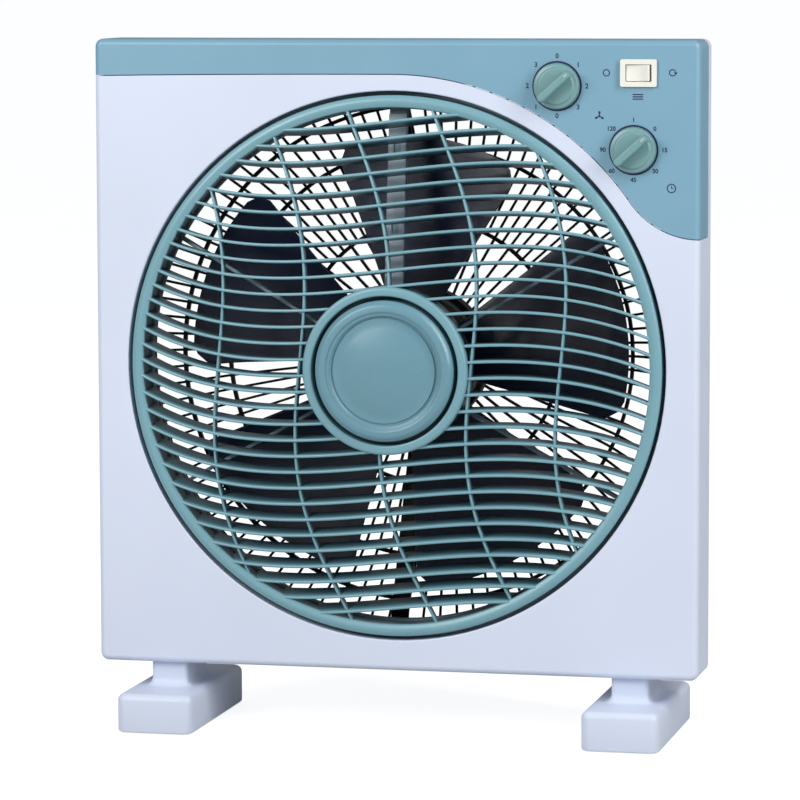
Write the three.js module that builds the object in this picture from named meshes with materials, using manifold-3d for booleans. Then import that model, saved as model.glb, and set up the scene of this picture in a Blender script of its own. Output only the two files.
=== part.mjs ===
// A box fan with a revolving front louver, as an assembly of separate pieces.
// Millimetres, +Z up, the air leaves towards -Y, and the fan stands on z = 0.
import * as THREE from "three";
import { mergeVertices } from "three/addons/utils/BufferGeometryUtils.js";
import Module from "manifold-3d";

const wasm = await Module();
wasm.setup();

// ---- Driving dimensions ----
const GAP = 0.3; // clearance between neighbouring pieces
const WALL = 2.5; // skin of the moulded shells
const SEAT = 4.8; // depth of the fascia and the front shell behind it, together
const BODY = { half: 180, bottom: 38.6, top: 408, corner: 5, edge: 3.6, front: -37, split: 3, rear: 36 };
const AXIS_Z = 217.5; // height of the fan's axis
const OPENING_R = 160.8; // round front opening
const BACK = 65; // rearmost plane

const FASCIA = { arc: 170.5, arcEnd: 35, left: 386.5, depth: 30 };
const REAR = { inset: 2, backInset: 6.5, edge: 5, corner: 14, opening: 165, wellFloor: 12, guardPost: 28 };
const LOUVER = {
  outer: 158.3, inner: 151.2, back: -24, front: -38.6,
  hubOuter: 48.85, hubInner: 43.4, hubFront: -60.6, hubBack: -45,
  dome: 23.6, domeR: 155, slatCount: 31, slatPitch: 9.5, slatShift: 0.97, slatDepth: 12.5, slatEdge: 2,
  wave: 14.28, waveSpan: 121.1, ribPitch: 50.9, ribShift: -1, ribWidth: 1.6, ribDepth: 1.2, ribGap: 0.9,
  rimCrown: 2.8, rimPeak: 155, bossR: 8, bossBore: 3.8, bossFront: -52,
};
const CAP = { radius: 41, front: -63.7, back: -52, band: 31, wall: 2 };
const SPIDER = {
  rimInner: 150, rimOuter: 163, front: -22.5, back: -17.5, earAt: 168, earR: 6,
  cupInner: 30, cupOuter: 32.5, cupFront: -40, cupBack: -25, dishFront: -38, armDepth: 4.8,
  wideArm: 10.7, thinArm: 2.6, thinAngles: [31, 151, 209, 330],
};
const DUCT = {
  inner: 155, outer: 157.5, flange: 163, front: -17.2, flangeBack: -14.9, back: 3, postR: 4.2, postBack: 30,
};
const BLADE = { count: 5, tip: 134, root: 28, arc: 52, gapAt: 48, front: -14, back: 10, thick: 2, hub: 32 };
const SHAFT_R = 4;
const MOTOR = { shell: 40, core: 43, bore: 22, front: 14, coreFront: 24.3, coreBack: 36, back: 46 };
const BRACKET = {
  front: 46.3, thick: 2.5, hub: 34, arm: 5.5, lean: 4.4, bendAt: 46, footAt: 154, reach: 166, footFront: 30.3,
  screwAt: 161.2,
};
const GUARD = {
  hub: 36, hubFront: 58, ribs: 24, ribWidth: 1.6, ribFront: 59, ribBack: 63, flat: 124.5, midRing: 80,
  outerRing: 149.5, rimInner: 165, rimOuter: 168.5, rimFront: 36.3, rimBack: 38.8, screwAt: 172, earR: 5.5,
};
const SPEED = { x: 96.9, z: 381.5 };
const TIMER = { x: 141.5, z: 345.2 };
const KNOB = { radius: 13.3, back: -37.4, face: -43, bar: 5.2, barFront: -50, angle: 42 };
const ROCKER = { x: 144.35, z: 389.15, pivotY: -36, halfLength: 6.9, halfHeight: 4.6, facet: 10 };
const CORNER_SCREW = { x: 152, low: 63, high: 372 };
const FOOT = {
  x: 139, width: 45.6, front: -65, back: 55, height: 23.6, lift: 0.8, edge: 4, corner: 6,
  neck: 22, neckFront: -30, neckBack: 15, screwY: [-22, -6],
};

const rad = THREE.MathUtils.degToRad;

// ---- Solids ----
function solidOf(positions, index) {
  const geometry = new THREE.BufferGeometry();
  geometry.setAttribute("position", new THREE.Float32BufferAttribute(positions, 3));
  if (index) geometry.setIndex(index);
  const merged = mergeVertices(geometry, 1e-4);
  const faces = new Uint32Array(merged.index.array);
  const vertices = merged.attributes.position.array;
  const solid = new wasm.Manifold(new wasm.Mesh({ numProp: 3, vertProperties: vertices, triVerts: faces }));
  if (solid.volume() > 0) return solid;
  for (let i = 0; i < faces.length; i += 3) faces.subarray(i, i + 2).reverse();
  return new wasm.Manifold(new wasm.Mesh({ numProp: 3, vertProperties: vertices, triVerts: faces }));
}

function fromGeometry(geometry) {
  const plain = geometry.index ? geometry.toNonIndexed() : geometry;
  return solidOf(plain.attributes.position.array);
}

// Joins neighbouring outlines, all with the same number of points, and closes both ends.
function loft(sections) {
  const count = sections[0].length;
  const last = (sections.length - 1) * count;
  const index = [];
  for (let start = 0; start < last; start += count) {
    for (let i = 0; i < count; i++) {
      const a = start + i;
      const b = start + ((i + 1) % count);
      index.push(a, b, b + count, a, b + count, a + count);
    }
  }
  for (let i = 1; i + 1 < count; i++) {
    index.push(0, i + 1, i);
    index.push(last, last + i, last + i + 1);
  }
  return solidOf(sections.flat(2), index);
}

// An outline in the X-Z plane, between two depths.
function plate(shape, front, back, curveSegments = 12) {
  const options = { depth: back - front, bevelEnabled: false, curveSegments };
  return fromGeometry(new THREE.ExtrudeGeometry(shape, options).rotateX(Math.PI / 2).translate(0, back, 0));
}

// A profile of [radius, depth] points turned about an axis along Y.
function turned(profile, segments = 48, x = 0, z = AXIS_Z) {
  const points = profile.map(([r, y]) => new THREE.Vector2(r, y));
  if (THREE.ShapeUtils.area(points) < 0) points.reverse();
  points.push(points[0].clone());
  return fromGeometry(new THREE.LatheGeometry(points, segments).translate(x, 0, z));
}

function tube(inner, outer, front, back, segments = 48, x = 0, z = AXIS_Z) {
  return turned([[inner, front], [outer, front], [outer, back], [inner, back]], segments, x, z);
}

function disc(radius, front, back, segments = 48, x = 0, z = AXIS_Z) {
  const height = back - front;
  const geometry = new THREE.CylinderGeometry(radius, radius, height, segments);
  return fromGeometry(geometry.translate(x, front + height / 2, z));
}

function post(radius, low, high, x, y, segments = 16) {
  const geometry = new THREE.CylinderGeometry(radius, radius, high - low, segments).rotateX(Math.PI / 2);
  return fromGeometry(geometry.translate(x, y, (low + high) / 2));
}

function block(x0, x1, y0, y1, z0, z1) {
  const geometry = new THREE.BoxGeometry(x1 - x0, y1 - y0, z1 - z0);
  return fromGeometry(geometry.translate((x0 + x1) / 2, (y0 + y1) / 2, (z0 + z1) / 2));
}

function joined(solids) {
  return solids.reduce((sum, next) => sum.add(next));
}

function less(solid, cuts) {
  return cuts.reduce((rest, cut) => rest.subtract(cut), solid);
}

// Corners of a rounded rectangle, as [u, v] points.
function roundedRectangle(left, right, low, high, radius, steps = 3) {
  const corners = [
    [right - radius, high - radius, 0],
    [left + radius, high - radius, 90],
    [left + radius, low + radius, 180],
    [right - radius, low + radius, 270],
  ];
  return corners.flatMap(([u, v, start]) =>
    Array.from({ length: steps + 1 }, (_, i) => {
      const angle = rad(start + (90 * i) / steps);
      return [u + radius * Math.cos(angle), v + radius * Math.sin(angle)];
    }),
  );
}

// ---- Body shells ----
function bodyOutline(inset, y, radius) {
  const { half, bottom, top } = BODY;
  const points = roundedRectangle(inset - half, half - inset, bottom + inset, top - inset, radius);
  return points.map(([x, z]) => [x, y, z]);
}

// The front body's block, shrunk by an offset on all its sides, with its rounded front edge.
function frontBlock(offset, back) {
  const edge = Math.max(BODY.edge - offset, 0.8);
  const radius = Math.max(BODY.corner - offset, 1.5);
  const front = BODY.front + offset;
  const sections = [0, 30, 60, 90].map((angle) => {
    const inset = offset + edge * (1 - Math.sin(rad(angle)));
    return bodyOutline(inset, front + edge * (1 - Math.cos(rad(angle))), Math.max(radius, 1.5));
  });
  return loft([...sections, bodyOutline(offset, back, radius)]);
}

// The area of the blue fascia and everything above it; spare moves its lower edge down.
function fasciaArea(spare) {
  const end = rad(FASCIA.arcEnd);
  const turn = BODY.half / Math.cos(end) - FASCIA.arc;
  const turnZ = AXIS_Z + (FASCIA.arc + turn) * Math.sin(end);
  const side = BODY.half + 5;
  const shape = new THREE.Shape();
  shape.moveTo(-side, FASCIA.left - spare);
  shape.quadraticCurveTo(-side / 2, AXIS_Z + FASCIA.arc - spare, 0, AXIS_Z + FASCIA.arc - spare);
  shape.absarc(0, AXIS_Z, FASCIA.arc - spare, Math.PI / 2, end, true);
  shape.absarc(BODY.half, turnZ, turn + spare, end + Math.PI, 1.5 * Math.PI, false);
  shape.lineTo(side, turnZ - turn - spare);
  shape.lineTo(side, BODY.top + 5);
  shape.lineTo(-side, BODY.top + 5);
  return shape;
}

function controlHoles() {
  const cutout = block(ROCKER.x - 9.6, ROCKER.x + 9.6, -45, -25, ROCKER.z - 6.8, ROCKER.z + 6.8);
  return [disc(4.5, -45, -25, 20, SPEED.x, SPEED.z), disc(4.5, -45, -25, 20, TIMER.x, TIMER.z), cutout];
}

function controlFascia() {
  const skin = frontBlock(0, BODY.split).subtract(frontBlock(WALL, BODY.split + 1));
  const area = plate(fasciaArea(0), -45, BODY.front + FASCIA.depth, 12);
  return less(skin.intersect(area), controlHoles());
}

const cornerScrews = [-1, 1].flatMap((side) => [
  [side * CORNER_SCREW.x, CORNER_SCREW.low],
  [side * CORNER_SCREW.x, CORNER_SCREW.high],
]);

function aroundAxis(radius, angles) {
  return angles.map((a) => [radius * Math.cos(rad(a)), AXIS_Z + radius * Math.sin(rad(a))]);
}

const DIAGONALS = [45, 135, 225, 315];
const spiderScrews = aroundAxis(SPIDER.earAt, DIAGONALS);
const guardScrews = aroundAxis(GUARD.screwAt, DIAGONALS);
const bracketScrews = aroundAxis(BRACKET.screwAt, [90 + BRACKET.lean, 270 - BRACKET.lean]);
const motorScrews = aroundAxis(28, [0, 180]);
const footScrews = [-1, 1].flatMap((side) => FOOT.screwY.map((y) => [side * FOOT.x, y]));

function frontHousing() {
  const outer = frontBlock(0, BODY.split);
  const skin = outer.subtract(frontBlock(WALL, BODY.split + 1));
  const seat = outer.subtract(frontBlock(SEAT, BODY.split + 1));
  const behindFascia = plate(fasciaArea(4), -45, BODY.front + FASCIA.depth + 5, 10);
  const core = frontBlock(WALL + GAP, BODY.split + 1);
  const pocket = plate(fasciaArea(GAP), -45, BODY.front + FASCIA.depth + GAP, 12).subtract(core);
  const lip = tube(OPENING_R, OPENING_R + WALL, BODY.front + 1, SPIDER.front - GAP, 60);
  const cornerPosts = cornerScrews.map(([x, z]) => disc(4.5, -35, BODY.split, 8, x, z));
  const earPosts = spiderScrews.map(([x, z]) => disc(4.5, -35, SPIDER.front - GAP, 8, x, z));
  const footPosts = footScrews.map(([x, y]) => post(5, BODY.bottom + 1, 50, x, y, 8));
  const shell = skin.add(seat.intersect(behindFascia));
  const hollow = disc(OPENING_R, -45, -10, 60);
  const holes = [
    ...cornerScrews.map(([x, z]) => disc(2, -10, BODY.split + 1, 8, x, z)),
    ...spiderScrews.map(([x, z]) => disc(1.5, -32, -20, 8, x, z)),
    ...footScrews.map(([x, y]) => post(2.2, BODY.bottom - 1, 48, x, y, 8)),
  ];
  const solid = joined([less(shell, [hollow]), lip, ...cornerPosts, ...earPosts, ...footPosts]);
  return less(solid, [...holes, ...controlHoles(), hollow, pocket]);
}

function rearBlock(offset, front) {
  const back = BODY.rear - offset;
  const edge = REAR.edge - offset;
  const sections = [90, 60, 30, 0].map((angle) => {
    const inset = REAR.backInset + offset + edge * (1 - Math.sin(rad(angle)));
    return bodyOutline(inset, back - edge * (1 - Math.cos(rad(angle))), REAR.corner - offset);
  });
  return loft([bodyOutline(REAR.inset + offset, front, REAR.corner - offset), ...sections]);
}

const INLET = { x: -110, z: 66, hole: 5.3 };

function rearHousing() {
  const start = BODY.split + GAP;
  const { opening, wellFloor, guardPost } = REAR;
  const skin = rearBlock(0, start).subtract(rearBlock(WALL, start - 1));
  const screwPosts = cornerScrews.map(([x, z]) => disc(5.5, start, BODY.rear - 1, 10, x, z));
  const guardPosts = guardScrews.map(([x, z]) => disc(3.6, guardPost, BODY.rear - 1, 8, x, z));
  return less(joined([skin, ...screwPosts, ...guardPosts]), [
    disc(opening, guardPost, BODY.rear + 2, 60),
    ...cornerScrews.map(([x, z]) => disc(2.1, start - 1, wellFloor + 8, 8, x, z)),
    ...cornerScrews.map(([x, z]) => disc(3.8, wellFloor, BODY.rear + 1, 10, x, z)),
    ...guardScrews.map(([x, z]) => disc(1.5, guardPost + 1.5, BODY.rear + 1, 8, x, z)),
    disc(INLET.hole, guardPost, BODY.rear + 1, 16, INLET.x, INLET.z),
  ]);
}

function cordInletGland() {
  const outside = BODY.rear + GAP;
  const profile = [
    [3.5, outside - 7.3], [5, outside - 7.3], [5, outside], [8, outside], [7.4, outside + 2.7],
    [5.6, outside + 7.7], [3.5, outside + 7.7],
  ];
  return turned(profile, 16, INLET.x, INLET.z);
}

// ---- Revolving louver ----
function domeFront(r) {
  return BODY.front - LOUVER.dome * (1 - (r / LOUVER.domeR) ** 2);
}

function slatWave(x) {
  const t = x / LOUVER.waveSpan;
  return LOUVER.wave * (t - t ** 3);
}

function ribBend(z) {
  const t = z / 100;
  return 10.6 * t - 19.6 * t ** 3 + 3.1 * t ** 5;
}

// Where a curve along one side leaves the given radius.
function reach(radius, sign, across) {
  let low = 0;
  let high = radius * 1.05;
  for (let i = 0; i < 30; i++) {
    const middle = (low + high) / 2;
    if (Math.hypot(middle, across(sign * middle)) < radius) low = middle;
    else high = middle;
  }
  return sign * low;
}

function slat(height) {
  const across = (x) => height + slatWave(x);
  const from = reach(LOUVER.inner + 1.5, -1, across);
  const to = reach(LOUVER.inner + 1.5, 1, across);
  const steps = 5;
  return loft(
    Array.from({ length: steps + 1 }, (_, i) => {
      const x = from + ((to - from) * i) / steps;
      const z = AXIS_Z + across(x);
      const dome = domeFront(Math.hypot(x, across(x)));
      const setBack = i % steps ? 0 : LOUVER.rimCrown;
      const front = Math.min(dome + setBack, LOUVER.front + LOUVER.rimCrown);
      const back = dome + LOUVER.slatDepth;
      const half = LOUVER.slatEdge / 2;
      const thin = 0.6 * half;
      return [[x, front, z - half], [x, front, z + half], [x, back, z + thin], [x, back, z - thin]];
    }),
  );
}

function louverRib(place) {
  const along = (z) => place + ribBend(z);
  const from = reach(LOUVER.inner + 1.5, -1, along);
  const to = reach(LOUVER.inner + 1.5, 1, along);
  const steps = 6;
  return loft(
    Array.from({ length: steps + 1 }, (_, i) => {
      const height = from + ((to - from) * i) / steps;
      const x = along(height);
      const z = AXIS_Z + height;
      const front = domeFront(Math.hypot(x, height)) + LOUVER.slatDepth + LOUVER.ribGap;
      const back = front + LOUVER.ribDepth;
      const half = LOUVER.ribWidth / 2;
      return [[x - half, front, z], [x + half, front, z], [x + half, back, z], [x - half, back, z]];
    }),
  );
}

function rotaryLouver() {
  const { outer, inner, back, front, rimCrown, rimPeak, hubOuter, hubInner, hubFront, hubBack } = LOUVER;
  const { bossR, bossBore, bossFront } = LOUVER;
  const middle = (LOUVER.slatCount - 1) / 2;
  const slats = Array.from({ length: LOUVER.slatCount }, (_, i) =>
    slat(LOUVER.slatShift + (i - middle) * LOUVER.slatPitch),
  );
  const ribs = [-2, -1, 0, 1, 2].map((i) => louverRib(LOUVER.ribShift + i * LOUVER.ribPitch));
  const rim = turned(
    [
      [inner, back], [outer, back], [outer, front + rimCrown - 0.4], [rimPeak, front],
      [inner, front + rimCrown - 0.4],
    ],
    44,
  );
  const hub = turned(
    [
      [hubInner, hubBack - 3], [hubInner, hubFront + 0.8], [hubInner + 1.2, hubFront],
      [hubOuter - 1.2, hubFront], [hubOuter, hubFront + 0.8], [hubOuter, hubBack], [bossBore, hubBack],
      [bossBore, bossFront], [bossR, bossFront], [bossR, hubBack - 3],
    ],
    32,
  );
  const grid = joined([...slats, ...ribs]).subtract(disc(hubInner + 1.5, -70, -20, 32));
  return joined([grid, rim, hub]);
}

function centreCap() {
  const { radius, front, back, band, wall } = CAP;
  return turned(
    [
      [0, front + 1], [band - 0.8, front + 2], [band, front + 0.8], [band + 4, front],
      [radius - 1.6, front + 1.2], [radius, front + 4], [radius, back], [radius - wall, back],
      [radius - wall, front + 5], [0, front + 5],
    ],
    32,
  );
}

function louverDriveShaft() {
  return disc(3.5, -51, -36, 20);
}

// ---- Fixed spider behind the louver ----
function armFront(r) {
  const { cupOuter, dishFront, rimInner } = SPIDER;
  const slope = (SPIDER.front - dishFront) / (rimInner - 1 - cupOuter);
  return dishFront + (r - cupOuter) * slope;
}

// A straight bar from radius r0 to r1, following the spider's dish.
function spoke(angle, width, r0, r1, frontOffset, depth) {
  const out = new THREE.Vector2(Math.cos(rad(angle)), Math.sin(rad(angle)));
  const side = new THREE.Vector2(-out.y, out.x).multiplyScalar(width / 2);
  return loft(
    [r0, r1].map((r) => {
      const front = armFront(r) + frontOffset;
      const back = front + depth;
      const a = [out.x * r - side.x, AXIS_Z + out.y * r - side.y];
      const b = [out.x * r + side.x, AXIS_Z + out.y * r + side.y];
      return [[a[0], front, a[1]], [b[0], front, b[1]], [b[0], back, b[1]], [a[0], back, a[1]]];
    }),
  );
}

function louverSpider() {
  const { rimInner, rimOuter, front, back, cupInner, cupOuter, cupFront, cupBack } = SPIDER;
  const rim = tube(rimInner, rimOuter, front, back, 48);
  const cup = turned(
    [
      [cupInner, cupFront], [cupOuter, cupFront], [cupOuter, cupBack], [6, cupBack], [6, cupBack - 2],
      [cupInner, cupBack - 2],
    ],
    24,
  );
  const ears = spiderScrews.map(([x, z]) => disc(SPIDER.earR, front, back, 10, x, z));
  const from = cupInner + 1;
  const to = rimInner + 0.5;
  const thinArms = SPIDER.thinAngles.map((angle) => spoke(angle, SPIDER.thinArm, from, to, 0, SPIDER.armDepth));
  const wideArm = spoke(90, SPIDER.wideArm, from, to, 1.5, SPIDER.armDepth - 1.5);
  const groove = spoke(90, 6.6, 36, 147, 0, 4);
  const holes = spiderScrews.map(([x, z]) => disc(1.5, front - 1, back + 1, 8, x, z));
  const keepInside = disc(cupInner, cupFront - 1, cupBack - 2, 24);
  const solid = joined([rim, ...ears, less(wideArm, [groove]), ...thinArms]).subtract(keepInside).add(cup);
  return less(solid, holes);
}

function wireChannelCover() {
  const strip = spoke(90, SPIDER.wideArm, 36, 147, 0, 1.2);
  const windows = [345, 298.5].map((z) => block(-2.2, 2.2, -45, -10, z - 3.2, z + 3.2));
  return less(strip, windows);
}

function louverMotor() {
  const can = disc(SPIDER.cupInner - 2 * GAP, -41.5, SPIDER.cupBack - 2 - GAP, 24);
  return can.subtract(disc(3.8, -45, -35, 20));
}

// A short ring round the blades. The spider's screws hold its ears, and its two posts carry the motor bracket.
function airDuct() {
  const { inner, outer, flange, front, flangeBack, back, postR, postBack } = DUCT;
  const ring = turned(
    [
      [inner, front], [flange, front], [flange, flangeBack], [outer, flangeBack], [outer, back], [inner, back],
    ],
    48,
  );
  const ears = spiderScrews.map(([x, z]) => disc(SPIDER.earR, front, flangeBack, 10, x, z));
  const posts = bracketScrews.map(([x, z]) => disc(postR, flangeBack - 1, postBack, 12, x, z));
  return less(joined([ring, ...ears, ...posts]), [
    ...spiderScrews.map(([x, z]) => disc(1.5, front - 1, flangeBack + 1, 8, x, z)),
    ...bracketScrews.map(([x, z]) => disc(1.5, postBack - 8, postBack + 1, 8, x, z)),
  ]);
}

// ---- Fan and motor ----
// One blade: constant pitch over its arc, so its leading and trailing edges are radial.
function blade(centre) {
  const steps = 5;
  const { root, tip, arc, front, back, thick } = BLADE;
  return loft(
    Array.from({ length: steps + 1 }, (_, i) => {
      const t = i / steps;
      const angle = rad(centre + arc * (t - 0.5));
      const camber = 5 * Math.sin(Math.PI * t);
      const y = front + (back - thick - front) * t + camber;
      const at = (r, depth) => [r * Math.cos(angle), depth, AXIS_Z + r * Math.sin(angle)];
      const shallow = y * 0.5;
      return [at(root, shallow), at(tip, y), at(tip, y + thick), at(root, shallow + thick)];
    }),
  );
}

function fanBlade() {
  const { count, gapAt, front, back, hub } = BLADE;
  const blades = Array.from({ length: count }, (_, i) => blade(gapAt + (360 / count) * (i + 0.5)));
  const boss = turned(
    [
      [SHAFT_R + 0.2, front], [hub - 3, front], [hub, front + 3], [hub, back], [hub - WALL, back],
      [hub - WALL, front + 5], [9, front + 5], [9, back], [SHAFT_R + 0.2, back],
    ],
    30,
  );
  const inside = disc(hub - WALL, front + 5, back + 5, 30);
  return joined(blades).subtract(inside).add(boss);
}

function motorShaft() {
  return disc(SHAFT_R, -20, 52, 20);
}

function bladeNut() {
  const bore = SHAFT_R + 0.2;
  const back = BLADE.front - GAP;
  const profile = [
    [bore, back], [12, back], [11, back - 4.7], [8, back - 8.2], [0, back - 8.2], [0, back - 6.1], [bore, back - 6.1],
  ];
  return turned(profile, 16);
}

function rotorCore() {
  return tube(SHAFT_R + 0.2, MOTOR.bore - 0.6, MOTOR.coreFront - 1, MOTOR.coreBack + 1, 24);
}

function statorCore() {
  return tube(MOTOR.bore, MOTOR.core, MOTOR.coreFront, MOTOR.coreBack, 32);
}

function motorFrontShield() {
  const { shell, front, coreFront } = MOTOR;
  const end = coreFront - GAP;
  return turned(
    [
      [6.3, front - 2], [10, front - 2], [10, front], [shell - 3, front], [shell, front + 3], [shell, end],
      [shell - 2, end], [shell - 2, front + 2], [10, front + 2], [10, front + 4], [6.3, front + 4],
    ],
    28,
  );
}

function motorRearShield() {
  const { shell, back, coreBack } = MOTOR;
  const start = coreBack + GAP;
  const solid = turned(
    [
      [6.3, back - 4], [10, back - 4], [10, back - 2], [shell - 2, back - 2], [shell - 2, start], [shell, start],
      [shell, back - 3], [shell - 3, back], [6.3, back],
    ],
    28,
  );
  return less(solid, motorScrews.map(([x, z]) => disc(1.9, 30, back + 1, 8, x, z)));
}

function frontWinding() {
  return tube(24, 35, MOTOR.coreFront - 6, MOTOR.coreFront - GAP, 24);
}

function rearWinding() {
  return tube(24, 35, MOTOR.coreBack + GAP, MOTOR.coreBack + 4.5, 24);
}

function bearingBush(front, back) {
  return tube(SHAFT_R + 0.2, 6, front, back, 16);
}

// One of the bracket's two arms, which leans to the left and bends forward to a flat foot on its post.
function bracketArm(side) {
  const { front, thick, hub, arm, lean, bendAt, footAt, reach: end, footFront } = BRACKET;
  const stations = [[hub - 10, front], [bendAt, front], [footAt, footFront], [end, footFront]];
  return loft(
    stations.map(([r, y]) => {
      const x = -r * Math.sin(rad(lean));
      const z = AXIS_Z + side * r * Math.cos(rad(lean));
      return [[x - arm, y, z], [x + arm, y, z], [x + arm, y + thick, z], [x - arm, y + thick, z]];
    }),
  );
}

function motorBracket() {
  const { front, thick, hub, footFront } = BRACKET;
  const plateDisc = disc(hub, front, front + thick, 28);
  return less(joined([plateDisc, bracketArm(1), bracketArm(-1)]), [
    disc(7, front - 5, front + thick + 5, 16),
    ...motorScrews.map(([x, z]) => disc(1.9, front - 5, front + thick + 5, 8, x, z)),
    ...bracketScrews.map(([x, z]) => disc(1.5, footFront - 5, footFront + thick + 5, 8, x, z)),
  ]);
}

// ---- Rear guard ----
// Front of the guard's bars: flat in the middle, then sloping forward to the rim.
function guardFront(r) {
  const { flat, ribFront, rimFront } = GUARD;
  const end = GUARD.rimInner + 1.5;
  return ribFront - ((ribFront - rimFront) * Math.max(0, r - flat)) / (end - flat);
}

function guardRib(angle) {
  const out = [Math.cos(rad(angle)), Math.sin(rad(angle))];
  const half = GUARD.ribWidth / 2;
  const depth = GUARD.ribBack - GUARD.ribFront;
  const stations = [
    [GUARD.hub - 2, depth],
    [GUARD.flat, depth],
    [GUARD.rimInner + 1.5, GUARD.rimBack - GUARD.rimFront],
  ];
  return loft(
    stations.map(([r, thick]) => {
      const front = guardFront(r);
      const back = front + thick;
      const [x0, z0] = [r * out[0] - half * out[1], AXIS_Z + r * out[1] + half * out[0]];
      const [x1, z1] = [r * out[0] + half * out[1], AXIS_Z + r * out[1] - half * out[0]];
      return [[x0, front, z0], [x1, front, z1], [x1, back, z1], [x0, back, z0]];
    }),
  );
}

function rearGuard() {
  const { hubFront, ribBack, rimInner, rimOuter, rimFront, rimBack, earR } = GUARD;
  const ribs = Array.from({ length: GUARD.ribs }, (_, i) => guardRib((360 * (i + 0.5)) / GUARD.ribs));
  const hub = turned(
    [[0, hubFront], [GUARD.hub, hubFront], [GUARD.hub, ribBack], [GUARD.hub - 4, BACK], [0, BACK]],
    32,
  );
  const rings = [GUARD.midRing, GUARD.flat, GUARD.outerRing].map((r) => {
    const front = guardFront(r);
    return tube(r - 1, r + 1.5, front, front + 3.5, GUARD.ribs);
  });
  const rim = tube(rimInner, rimOuter, rimFront, rimBack, 2 * GUARD.ribs);
  const ears = guardScrews.map(([x, z]) => disc(earR, rimFront, rimBack, 10, x, z));
  const holes = guardScrews.map(([x, z]) => disc(1.5, rimFront - 1, rimBack + 1, 8, x, z));
  return less(joined([...ribs, hub, ...rings, rim, ...ears]), holes);
}

// ---- Controls ----
// A pointer knob whose grip bar points along its angle.
function pointerKnob({ x, z }) {
  const { radius, back, face, bar, barFront, angle } = KNOB;
  const skirtProfile = [[0, face], [radius - 1.5, face], [radius, face + 1.5], [radius, back], [0, back]];
  const skirt = turned(skirtProfile, 24, x, z);
  const half = bar / 2;
  const reachOut = radius - 0.6;
  const outline = new THREE.Shape();
  outline.absarc(reachOut - half, 0, half, -Math.PI / 2, Math.PI / 2, false);
  outline.absarc(half - reachOut, 0, half, Math.PI / 2, 1.5 * Math.PI, false);
  const options = { depth: face + 1 - barFront, bevelEnabled: false, curveSegments: 6 };
  const grip = new THREE.ExtrudeGeometry(outline, options);
  grip.rotateZ(rad(angle)).rotateX(Math.PI / 2).translate(x, face + 1, z);
  return skirt.add(fromGeometry(grip)).subtract(disc(3.2, -46.3, -30, 12, x, z));
}

function controlShaft({ x, z }) {
  return disc(3, -46, -25, 12, x, z);
}

function switchBody({ x, z }, half, depth) {
  const front = BODY.front + SEAT + 2 * GAP;
  const box = block(x - half, x + half, front, front + depth, z - half, z + half);
  return box.subtract(disc(3.3, -45, -24, 12, x, z));
}

function rockerBody() {
  const { x, z, pivotY } = ROCKER;
  const bezelOutline = roundedRectangle(x - 10.55, x + 10.55, z - 7.85, z + 7.85, 1.2, 2);
  const bezel = loft([-38.8, -37.3].map((y) => bezelOutline.map(([u, v]) => [u, y, v])));
  const box = block(x - 9.2, x + 9.2, -38, -18, z - 6.5, z + 6.5);
  const well = block(x - 7.6, x + 7.6, -45, -28, z - 4.9, z + 4.9);
  const pinHole = post(1.2, z - 6.2, z + 6.2, x, pivotY + 1, 12);
  return less(bezel.add(box), [well, pinHole]);
}

// The button's profile is a shallow V; it starts tipped with its left half level.
function rockerButton() {
  const { x, z, pivotY, halfLength, halfHeight, facet } = ROCKER;
  const lift = halfLength * Math.tan(rad(facet));
  const profile = new THREE.Shape();
  profile.moveTo(0, -2.6);
  profile.lineTo(halfLength, -2.6 - lift);
  profile.lineTo(halfLength, -0.4);
  profile.lineTo(3, 3);
  profile.lineTo(-3, 3);
  profile.lineTo(-halfLength, -0.4);
  profile.lineTo(-halfLength, -2.6 - lift);
  profile.closePath();
  const geometry = new THREE.ExtrudeGeometry(profile, { depth: 2 * halfHeight, bevelEnabled: false });
  geometry.rotateZ(-rad(facet)).translate(x, pivotY + 1, z - halfHeight);
  return fromGeometry(geometry).subtract(post(1.2, z - 10, z + 10, x, pivotY + 1, 12));
}

function rockerPin() {
  return post(0.9, ROCKER.z - 6, ROCKER.z + 6, ROCKER.x, ROCKER.pivotY + 1, 10);
}

function runCapacitor() {
  const outline = roundedRectangle(-128, -92, BODY.bottom + WALL + GAP, BODY.bottom + WALL + 16, 3, 3);
  return loft([-22, -8].map((y) => outline.map(([x, z]) => [x, y, z])));
}

// ---- Feet ----
function footOutline(inset, z) {
  const half = FOOT.width / 2 - inset;
  return roundedRectangle(-half, half, FOOT.front + inset, FOOT.back - inset, FOOT.corner - 0.7 * inset)
    .map(([x, y]) => [x, y, z]);
}

function footPads(side) {
  return [-44, 36].map((y) => post(8, 0, 2.6, side * FOOT.x, y, 16));
}

function foot(side) {
  const { height, lift, edge, neck, neckFront, neckBack } = FOOT;
  const levels = [
    [1, lift], [0, lift + 1],
    ...[0, 30, 60, 90].map((a) => [edge * (1 - Math.cos(rad(a))), height - edge * (1 - Math.sin(rad(a)))]),
  ];
  const base = loft(levels.map(([inset, z]) => footOutline(inset, z)));
  const stem = (spread, z) =>
    roundedRectangle(-neck / 2 - spread, neck / 2 + spread, neckFront - spread, neckBack + spread, 3 + spread)
      .map(([x, y]) => [x, y, z]);
  const top = BODY.bottom - GAP;
  const column = loft([
    stem(5, height - 1), stem(3.6, height), stem(1.4, height + 1.6), stem(0, height + 5), stem(0, top),
  ]);
  const body = base.add(column).translate([side * FOOT.x, 0, 0]);
  const pockets = [-44, 36].map((y) => post(8.3, -1, 2.9, side * FOOT.x, y, 16));
  const screwWays = FOOT.screwY.flatMap((y) => [
    post(5, -1, 14, side * FOOT.x, y, 10), post(2.4, 0, 60, side * FOOT.x, y, 8),
  ]);
  return less(body, [...pockets, ...screwWays]);
}

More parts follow.
